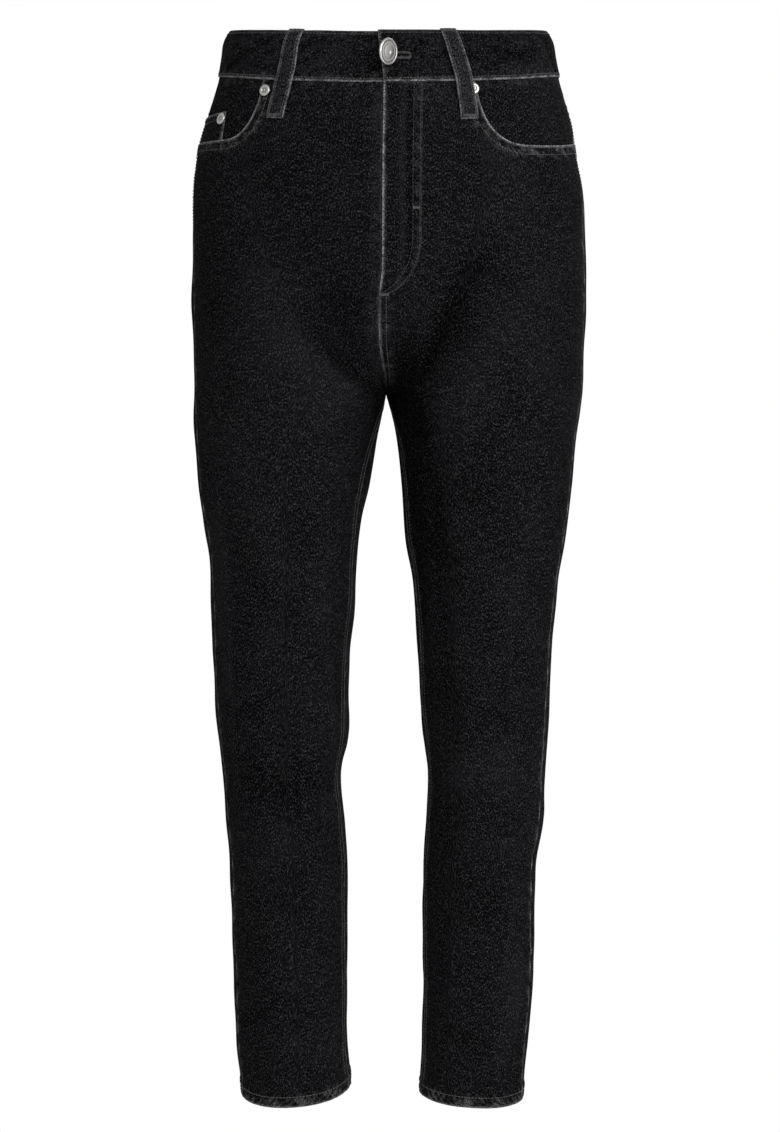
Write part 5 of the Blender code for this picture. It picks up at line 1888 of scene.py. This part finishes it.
@dataclass
class Fly:
    """The J-shaped band on the left front, beside the opening edge, with the zip's ridge under it."""

    room: Workroom
    width: float = 34.5
    curve_z: float = -174.0
    end_z: float = -226.0
    tip: float = 0.12
    edge_out: float = 1.9
    far_out: float = 0.62
    gap: float = 0.15
    ridge: float = 0.9
    ridge_at: float = 17.5
    valley: float = 0.35
    valley_at: float = 23.5
    ridge_painted_shade: float = 2.4
    painted_shade_width: float = 3.5
    ridge_width: float = 4.5
    valley_width: float = 3.5
    fade_height: float = 50.0
    waves: float = 0.25

    def rows(self) -> tuple[Array, Array]:
        """Heights down the band and its width at each."""
        top = float(self.room.form.waist_seam(0.0)) - self.room.form.seam_gap / 2
        straight = top + (self.curve_z - top) * graded(top - self.curve_z, 2.2, last=False)
        turns = np.linspace(0, math.pi / 2, 24)[1:]
        heights = np.concatenate([straight, self.curve_z + (self.end_z - self.curve_z) * np.sin(turns)])
        shares = np.concatenate([np.ones(len(straight)), np.maximum(np.cos(turns), self.tip)])
        return heights, self.width * shares

    def out_at(self, from_edge: Array, width: Array, z: Array) -> Array:
        """How far out the face is: high at the fold, low at the J, with a soft ridge between."""
        way = smooth(from_edge / np.maximum(width, 1e-6))
        out = self.edge_out + (self.far_out - self.edge_out) * way
        fade = smooth((z - self.end_z - 8) / self.fade_height)
        ridge = self.ridge * bell((from_edge - self.ridge_at) / self.ridge_width) * fade
        valley = self.valley * bell((from_edge - self.valley_at) / self.valley_width) * fade
        wavy = self.waves * self.room.tailor.strength(z + 3 * from_edge / self.width) * fade
        inner = bell((from_edge - self.ridge_at) / (2 * self.ridge_width))
        return np.maximum(out + ridge - valley + wavy * inner, self.far_out * 0.7)

    def share(self, x: Array, z: Array) -> Array:
        """The shares of a grid of x, one height to each row."""
        return np.stack([self.room.form.share_at(L, row, at) for row, at in zip(x, z)])

    def make(self) -> None:
        """The band and its sewing: two rows round the J and a tack at each turn."""
        room = self.room
        z, width = self.rows()
        across = graded(self.width, 1.4)
        fold_x = room.form.seams["front"](z) + room.form.gap
        from_edge = width[:, None] * across
        share = self.share(fold_x[:, None] + from_edge, z)
        grid = z[:, None] + np.zeros_like(share)
        out = self.out_at(from_edge, width[:, None], grid)
        edges = Edges(
            top=Edge(rub=0.1),
            low=Edge(rub=0.5),
            first=Edge(rub=0.95, rub_width=1.5, pull=0.12, pitch=9.0, reach=4.0),
            last=Edge(rub=0.08, pull=0.1, pitch=7.0, reach=6.0),
        )
        # Painted highlight along the zip's ridge and painted shade in the valley beside it, added to the tone
        ridge, valley = (bell((from_edge - at) / self.painted_shade_width) for at in (self.ridge_at, self.valley_at))
        more = self.ridge_painted_shade * ridge - self.ridge_painted_shade * valley
        cloth = room.tailor.lay(L, share, grid, out, out - self.gap, edges, more=more)
        room.piece("fly_placket", cloth, "laid", "front_left", FADED_SLOT)
        sewing = Sewing("fly_stitching")
        for inset, count in ((2.0, len(z)), (8.0, len(z) - 4)):
            kept = np.maximum(width - inset, 0.4)[:count]
            line = self.share((fold_x[:count] + kept)[:, None], z[:count])[:, 0]
            height = self.out_at(kept, width[:count], z[:count])
            room.seamstress.row(sewing, L, line[1:], z[1:count], height[1:], worn=0.5)
        room.seamstress.tack(sewing, L, float(share[-3, -1]), self.end_z + 1, 1.2, 9.0, False)
        low = float(self.share(np.array([[fold_x[30] + self.width - 5]]), z[[30]])[0, 0])
        room.seamstress.tack(sewing, L, low, -150.0, 0.9, 7.0, False)
        sewing.build(room.finishes.thread)


# Belt loops


@dataclass(frozen=True)
class Loop:
    """A belt loop: its node, the side it is read on, and its x at two heights, or its share."""

    node: str
    side: Side
    top_x: float = 0.0
    low_x: float = 0.0
    share: float = 0.0


LOOPS = [
    Loop("belt_loop_front_right", R, -83.0, -100.5),
    Loop("belt_loop_front_left", L, 52.0, 69.0),
    Loop("belt_loop_back_right", R, share=0.74),
    Loop("belt_loop_back_left", L, share=0.74),
]


@dataclass
class BeltLoops:
    """Straps sewn down at both ends, from the top of the waistband to below its seam."""

    room: Workroom
    band: Waistband
    width: float = 15.5
    wall: float = 1.8
    bulge: float = 2.4
    arch: float = 0.8
    below_seam: float = 34.0
    length: float = 78.0
    crown: float = 0.35
    crown_width: float = 0.45

    def lift(self, side: Side, share: Array, z: Array, down: Array) -> Array:
        """How far out a loop's inner face is: over the band, down its step and on to the cloth."""
        form = self.room.form
        off_band = smooth((form.waist_seam(share) - 1.0 - z) / 12.0)
        on_band = (self.band.out + self.band.lap_at(side, share)) * (1 - off_band)
        return on_band + form.gap + self.bulge * np.sin(math.pi * down) ** self.arch

    def strip(self, side: Side, share: Array, down: Array) -> tuple[Array, Array, Array, Array]:
        """Points of the form, normals, how far out the face is, and heights, for a grid of places."""
        form = self.room.form
        top = form.level(form.top, share)
        z = top + (form.waist_seam(share) - self.below_seam - top) * down
        out = self.lift(side, share, z, down) + self.wall
        return form.surface(side, share, z), form.normal(side, share, z), out, z

    def finish(self, node: str, base: Array, normal: Array, out: Array) -> None:
        """The strap itself, worn pale along its two long edges, from its places on the form."""
        side_edge = Edge(rub=0.55, rub_width=1.1, pull=0.12, pitch=5.0, reach=3.0)
        end = Edge(rub=0.45, pull=0.2, pitch=4.0, reach=4.0)
        edges = Edges(top=end, low=end, first=side_edge, last=side_edge)
        across = np.linspace(-1, 1, base.shape[1])
        crown = self.crown * (bell(across / self.crown_width) - 0.6)
        cloth = self.room.tailor.finish(base, normal, out + crown, self.wall, edges, 0.8)
        self.room.piece(node, cloth, "laid", "waistband", FADED_SLOT, self.room.finishes.faded)

    def ends(self, loop: Loop) -> tuple[float, float]:
        """The shares of a loop's middle at its top and foot."""
        if loop.share:
            return loop.share, loop.share
        form = self.room.form
        places = ((loop.top_x, 0.0), (loop.low_x, -70.0))
        top, low = (float(form.share_at(loop.side, x, z)) for x, z in places)
        return top, low

    def side_loop(self, loop: Loop, sewing: Sewing) -> None:
        """A loop that leans from one share of the way round to another."""
        form, by_hand = self.room.form, self.room.seamstress
        top, low = self.ends(loop)
        half = form.share_width(loop.side, (top + low) / 2, form.waist_z, self.width / 2)
        across, down = np.meshgrid(2 * graded(self.width, 1.5) - 1, graded(self.length, 1.6))
        share = top + (low - top) * down + half * across
        base, normal, out, _ = self.strip(loop.side, share, down)
        self.finish(loop.node, base, normal, out)
        rows = np.linspace(0.02, 0.98, 60)
        for place in (-0.66, 0.66):
            share = top + (low - top) * rows + half * place
            _, _, out, z = self.strip(loop.side, share, rows)
            by_hand.row(sewing, loop.side, share, z, out, worn=1.1)
        for down_at in (0.03, 0.965):
            share = top + (low - top) * down_at
            _, _, out, z = self.strip(loop.side, np.array([share]), np.array([down_at]))
            by_hand.tack(sewing, loop.side, share, float(z[0]), float(out[0]), self.width - 2.5, False)

    def centre_loop(self, sewing: Sewing) -> None:
        """The loop over the centre back, from one half of the jeans to the other."""
        form, by_hand = self.room.form, self.room.seamstress
        half = form.share_width(R, 0.99, form.waist_z, self.width / 2)
        place = graded(self.width / 2, 1.5, last=False)
        down = graded(self.length, 1.6)[:, None]
        right = self.strip(R, 1 - half * (1 - place) + np.zeros_like(down), down + np.zeros(len(place)))
        back = place[::-1][1:]
        left = self.strip(L, 1 - half * (1 - back) + np.zeros_like(down), down + np.zeros(len(back)))
        base, normal, out = (np.concatenate([a, b], axis=1) for a, b in zip(right[:3], left[:3]))
        self.finish("belt_loop_centre_back", base, normal, out)
        rows = np.linspace(0.02, 0.98, 60)
        for side in Side:
            share = np.full(60, 1 - half * 0.66)
            _, _, out, z = self.strip(side, share, rows)
            by_hand.row(sewing, side, share, z, out)

    def make(self) -> None:
        """All five loops and their sewing."""
        sewing = Sewing("belt_loop_stitching")
        for loop in LOOPS:
            self.side_loop(loop, sewing)
        self.centre_loop(sewing)
        sewing.build(self.room.finishes.thread)


# Metal trim


@dataclass(frozen=True)
class Ring:
    """One ring of a turned profile: its radius, its height, and how far it lies in a recess."""

    radius: float
    height: float
    recess: float = 0.0


RIVET = table_of(
    Ring,
    (0, 0), (4.9, 0), (5.15, 0.1), (5.2, 0.32), (5.15, 0.62), (4.95, 0.95), (4.6, 1.2), (4.1, 1.4),
    (3.5, 1.5), (3.0, 1.48), (2.7, 1.36, 0.3), (2.45, 1.12, 0.8), (2.2, 0.95, 1.0), (1.5, 0.9, 1.0),
    (1.0, 0.92, 1.0), (0.78, 1.04, 0.6), (0.5, 1.28), (0.25, 1.38), (0, 1.4),
)
BUTTON = table_of(
    Ring,
    (0, -1.3), (9.8, -1.3), (10.6, -1.15), (11.3, -0.85), (11.7, -0.4), (11.8, 0.1), (11.62, 0.6),
    (11.25, 0.98), (10.8, 1.17), (10.3, 1.2), (9.9, 1.1, 0.5), (9.6, 0.92, 1.0), (9.2, 0.86, 1.0),
    (8.8, 0.92, 0.6), (8.3, 1.02), (6.6, 1.08), (6.3, 1.0, 0.8), (6.0, 1.08), (3.0, 1.17), (0, 1.2),
)


@dataclass
class Trim:
    """The button and the rivets, turned round their axes."""

    room: Workroom
    band: Waistband
    rivet_z: float = -44.5
    steps: int = 44
    tilt: float = 50.0
    lean: float = 8.0
    lift: float = 10.3

    def turned(self, profile: Sequence[Ring], centre: Array, axis: Array) -> tuple[Array, Array, Array]:
        """Points, triangles and recess values of a profile turned round an axis."""
        axis = axis / np.linalg.norm(axis)
        across = np.cross(axis, [0, 0, 1.0])
        across /= np.linalg.norm(across)
        turns = np.arange(self.steps) * 2 * math.pi / self.steps
        circle = np.outer(np.cos(turns), across) + np.outer(np.sin(turns), np.cross(axis, across))
        middle = profile[1:-1]
        rings = [centre + circle * ring.radius + axis * ring.height for ring in middle]
        ends = [centre + axis * profile[k].height for k in (0, -1)]
        points = np.concatenate([*rings, ends])
        index = np.arange(len(middle) * self.steps).reshape(-1, self.steps)
        index = np.concatenate([index, index[:, :1]], axis=1)
        sides = quads(index)
        first, last = len(points) - 2, len(points) - 1
        caps = [[first, b, a] for a, b in zip(index[0, :-1], index[0, 1:])]
        caps += [[last, a, b] for a, b in zip(index[-1, :-1], index[-1, 1:])]
        faces = np.concatenate([sides[:, [0, 1, 2]], sides[:, [0, 2, 3]], np.array(caps)])
        recess = np.repeat([ring.recess for ring in middle], self.steps)
        return points, faces, np.concatenate([recess, [0, 0]])

    def piece(self, name: str, node: str, turned: Sequence[tuple[Array, Array, Array]]) -> None:
        """One metal piece from its turned shapes."""
        start, points, faces, recess = 0, [], [], []
        for at, corners, deep in turned:
            points.append(at)
            faces.append(corners + start)
            recess.append(deep)
            start += len(at)
        made = make_mesh(name, np.concatenate(points), np.concatenate(faces), self.room.finishes.nickel)
        add_value(made, "recess", np.concatenate(recess))
        dress(made, [node])

    def rivet(self, name: str, side: Side, share: float, z: float, on_top: float) -> None:
        """A riveted cap with a raised ring and a small point in its middle."""
        form = self.room.form
        at, height = np.array([share]), np.array([z])
        centre = form.off(side, at, height, on_top + form.gap)[0]
        self.piece(f"{name}_cap", name, [self.turned(RIVET, centre, form.normal(side, at, height)[0])])

    def button(self) -> None:
        """A round head that tips up over the band, on a shank through the buttonhole."""
        form, band = self.room.form, self.band
        at, height = form.share_at(L, [band.button_x], band.button_z), np.array([band.button_z])
        foot = band.out - band.lap + form.gap
        top = band.out + band.lap + self.lift
        tilt, lean = math.radians(self.tilt), math.radians(self.lean)
        aside = np.array([math.cos(lean), 0, -math.sin(lean)])
        face = np.array([0, -math.cos(tilt), 0]) + aside * math.sin(tilt)
        head = self.turned(BUTTON, form.off(L, at, height, top)[0], face)
        length = top - foot
        outline = ((0, 0), (4.0, 0), (3.2, 2.0), (3.2, length - 3.0), (2.4, length), (0, length))
        shank = table_of(Ring, *outline)
        base = form.off(L, at, height, foot)[0]
        out = form.normal(L, at, height)[0]
        self.piece("button_metal", "button", [head, self.turned(shank, base, out)])

    def make(self, coin_out: Callable[[Array, Array], Array]) -> None:
        """The button and the three rivets."""
        form = self.room.form
        for side, pocket in POCKETS.items():
            share = float(form.share_at(side, pocket.rivet_x, self.rivet_z))
            self.rivet(f"rivet_pocket_{side.value}", side, share, self.rivet_z, 0.0)
        share = float(form.share_at(R, -148.0, -66.0))
        on_top = float(coin_out(np.array([share]), np.array([-66.0]))[0]) + form.gap
        self.rivet("rivet_coin_pocket", R, share, -66.0, on_top)
        self.button()


# The studio


@dataclass(frozen=True)
class Lamp:
    """A soft rectangular light: its place, its target, its size in metres and its power in watts."""

    name: str
    place: tuple[float, float, float]
    target: tuple[float, float, float]
    size: tuple[float, float]
    watts: float


@dataclass(frozen=True)
class Studio:
    """A pale floor, a white surround and soft lights, seen from the photograph's viewing angle."""

    distance: float = 2.7
    height: float = -0.4594
    lens: float = 95.4
    floor_z: float = -1.25
    surround: float = 0.55
    lamps: tuple[Lamp, ...] = (
        Lamp("key_light", (0.9, -2.6, 0.9), (0.0, 0.0, -0.4), (1.6, 2.0), 52.0),
        Lamp("fill_light", (2.3, -1.5, 0.2), (0.0, 0.0, -0.5), (1.2, 2.2), 26.0),
        Lamp("back_light", (0.6, 2.6, 0.9), (0.0, 0.0, -0.4), (1.8, 2.0), 36.0),
    )

    def lamp(self, lamp: Lamp) -> None:
        """One area light turned to its target."""
        light = bpy.data.lights.new(lamp.name, "AREA")
        light.shape = "RECTANGLE"
        light.size, light.size_y = lamp.size
        light.energy = lamp.watts
        made = bpy.data.objects.new(lamp.name, light)
        way = np.subtract(lamp.target, lamp.place)
        made.location = lamp.place
        level = math.hypot(way[0], way[1])
        made.rotation_euler = (math.atan2(level, -way[2]), 0, math.atan2(-way[0], way[1]))
        bpy.context.scene.collection.objects.link(made)

    def floor(self) -> None:
        """A wide plain floor, which the camera sees as the same white as the surround."""
        mesh = bpy.data.meshes.new("floor")
        reach = 8.0
        corners = [(-reach, -reach), (reach, -reach), (reach, reach), (-reach, reach)]
        mesh.from_pydata([(x, y, self.floor_z) for x, y in corners], [], [(0, 1, 2, 3)])
        made = bpy.data.objects.new("floor", mesh)
        material, n, shader = principled("pale_floor", 0.9, 0.1)
        shader.inputs["Base Color"].default_value = (0.8, 0.8, 0.8, 1)
        white = n.add("ShaderNodeEmission")
        white.inputs["Strength"].default_value = 1.0
        mixed = n.add("ShaderNodeMixShader")
        n.join(n.add("ShaderNodeLightPath").outputs["Is Camera Ray"], mixed.inputs[0])
        n.join(shader.outputs[0], mixed.inputs[1])
        n.join(white.outputs[0], mixed.inputs[2])
        n.join(mixed.outputs[0], material.node_tree.nodes["Material Output"].inputs["Surface"])
        mesh.materials.append(material)
        bpy.context.scene.collection.objects.link(made)

    def world(self) -> None:
        """White where the camera looks past the jeans, and a softer white as light."""
        world = bpy.data.worlds.new("studio")
        world.use_nodes = True
        bpy.context.scene.world = world
        n = Nodes(world.node_tree)
        background = world.node_tree.nodes["Background"]
        background.inputs["Color"].default_value = (1, 1, 1, 1)
        seen = n.add("ShaderNodeLightPath").outputs["Is Camera Ray"]
        strength = n.maths("ADD", self.surround, n.maths("MULTIPLY", seen, 1.0 - self.surround))
        n.join(strength, background.inputs["Strength"])

    def camera(self) -> None:
        """A level camera in front of the middle of the jeans."""
        made = bpy.data.objects.new("camera", bpy.data.cameras.new("camera"))
        made.data.lens = self.lens
        made.location = (0, -self.distance, self.height)
        made.rotation_euler = (math.pi / 2, 0, 0)
        bpy.context.scene.collection.objects.link(made)
        bpy.context.scene.camera = made

    def make(self) -> None:
        """The whole studio."""
        self.camera()
        self.floor()
        self.world()
        for lamp in self.lamps:
            self.lamp(lamp)
        bpy.context.scene.view_settings.view_transform = "Standard"


def main() -> None:
    """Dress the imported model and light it."""
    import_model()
    Studio().make()
    form = Form()
    scoops = {side: Scoop(form, pocket) for side, pocket in POCKETS.items()}
    room = Workroom(form, Tailor(form), Seamstress(form), Wardrobe(), scoops)
    LegPanels(room).make()
    pockets = PocketWork(room)
    pockets.make()
    band = Waistband(room)
    band.make()
    Fly(room).make()
    BeltLoops(room, band).make()
    Trim(room, band).make(pockets.coin_out)


if __name__ == "__main__":
    logging.basicConfig(level=logging.INFO, format="%(message)s")
    main()
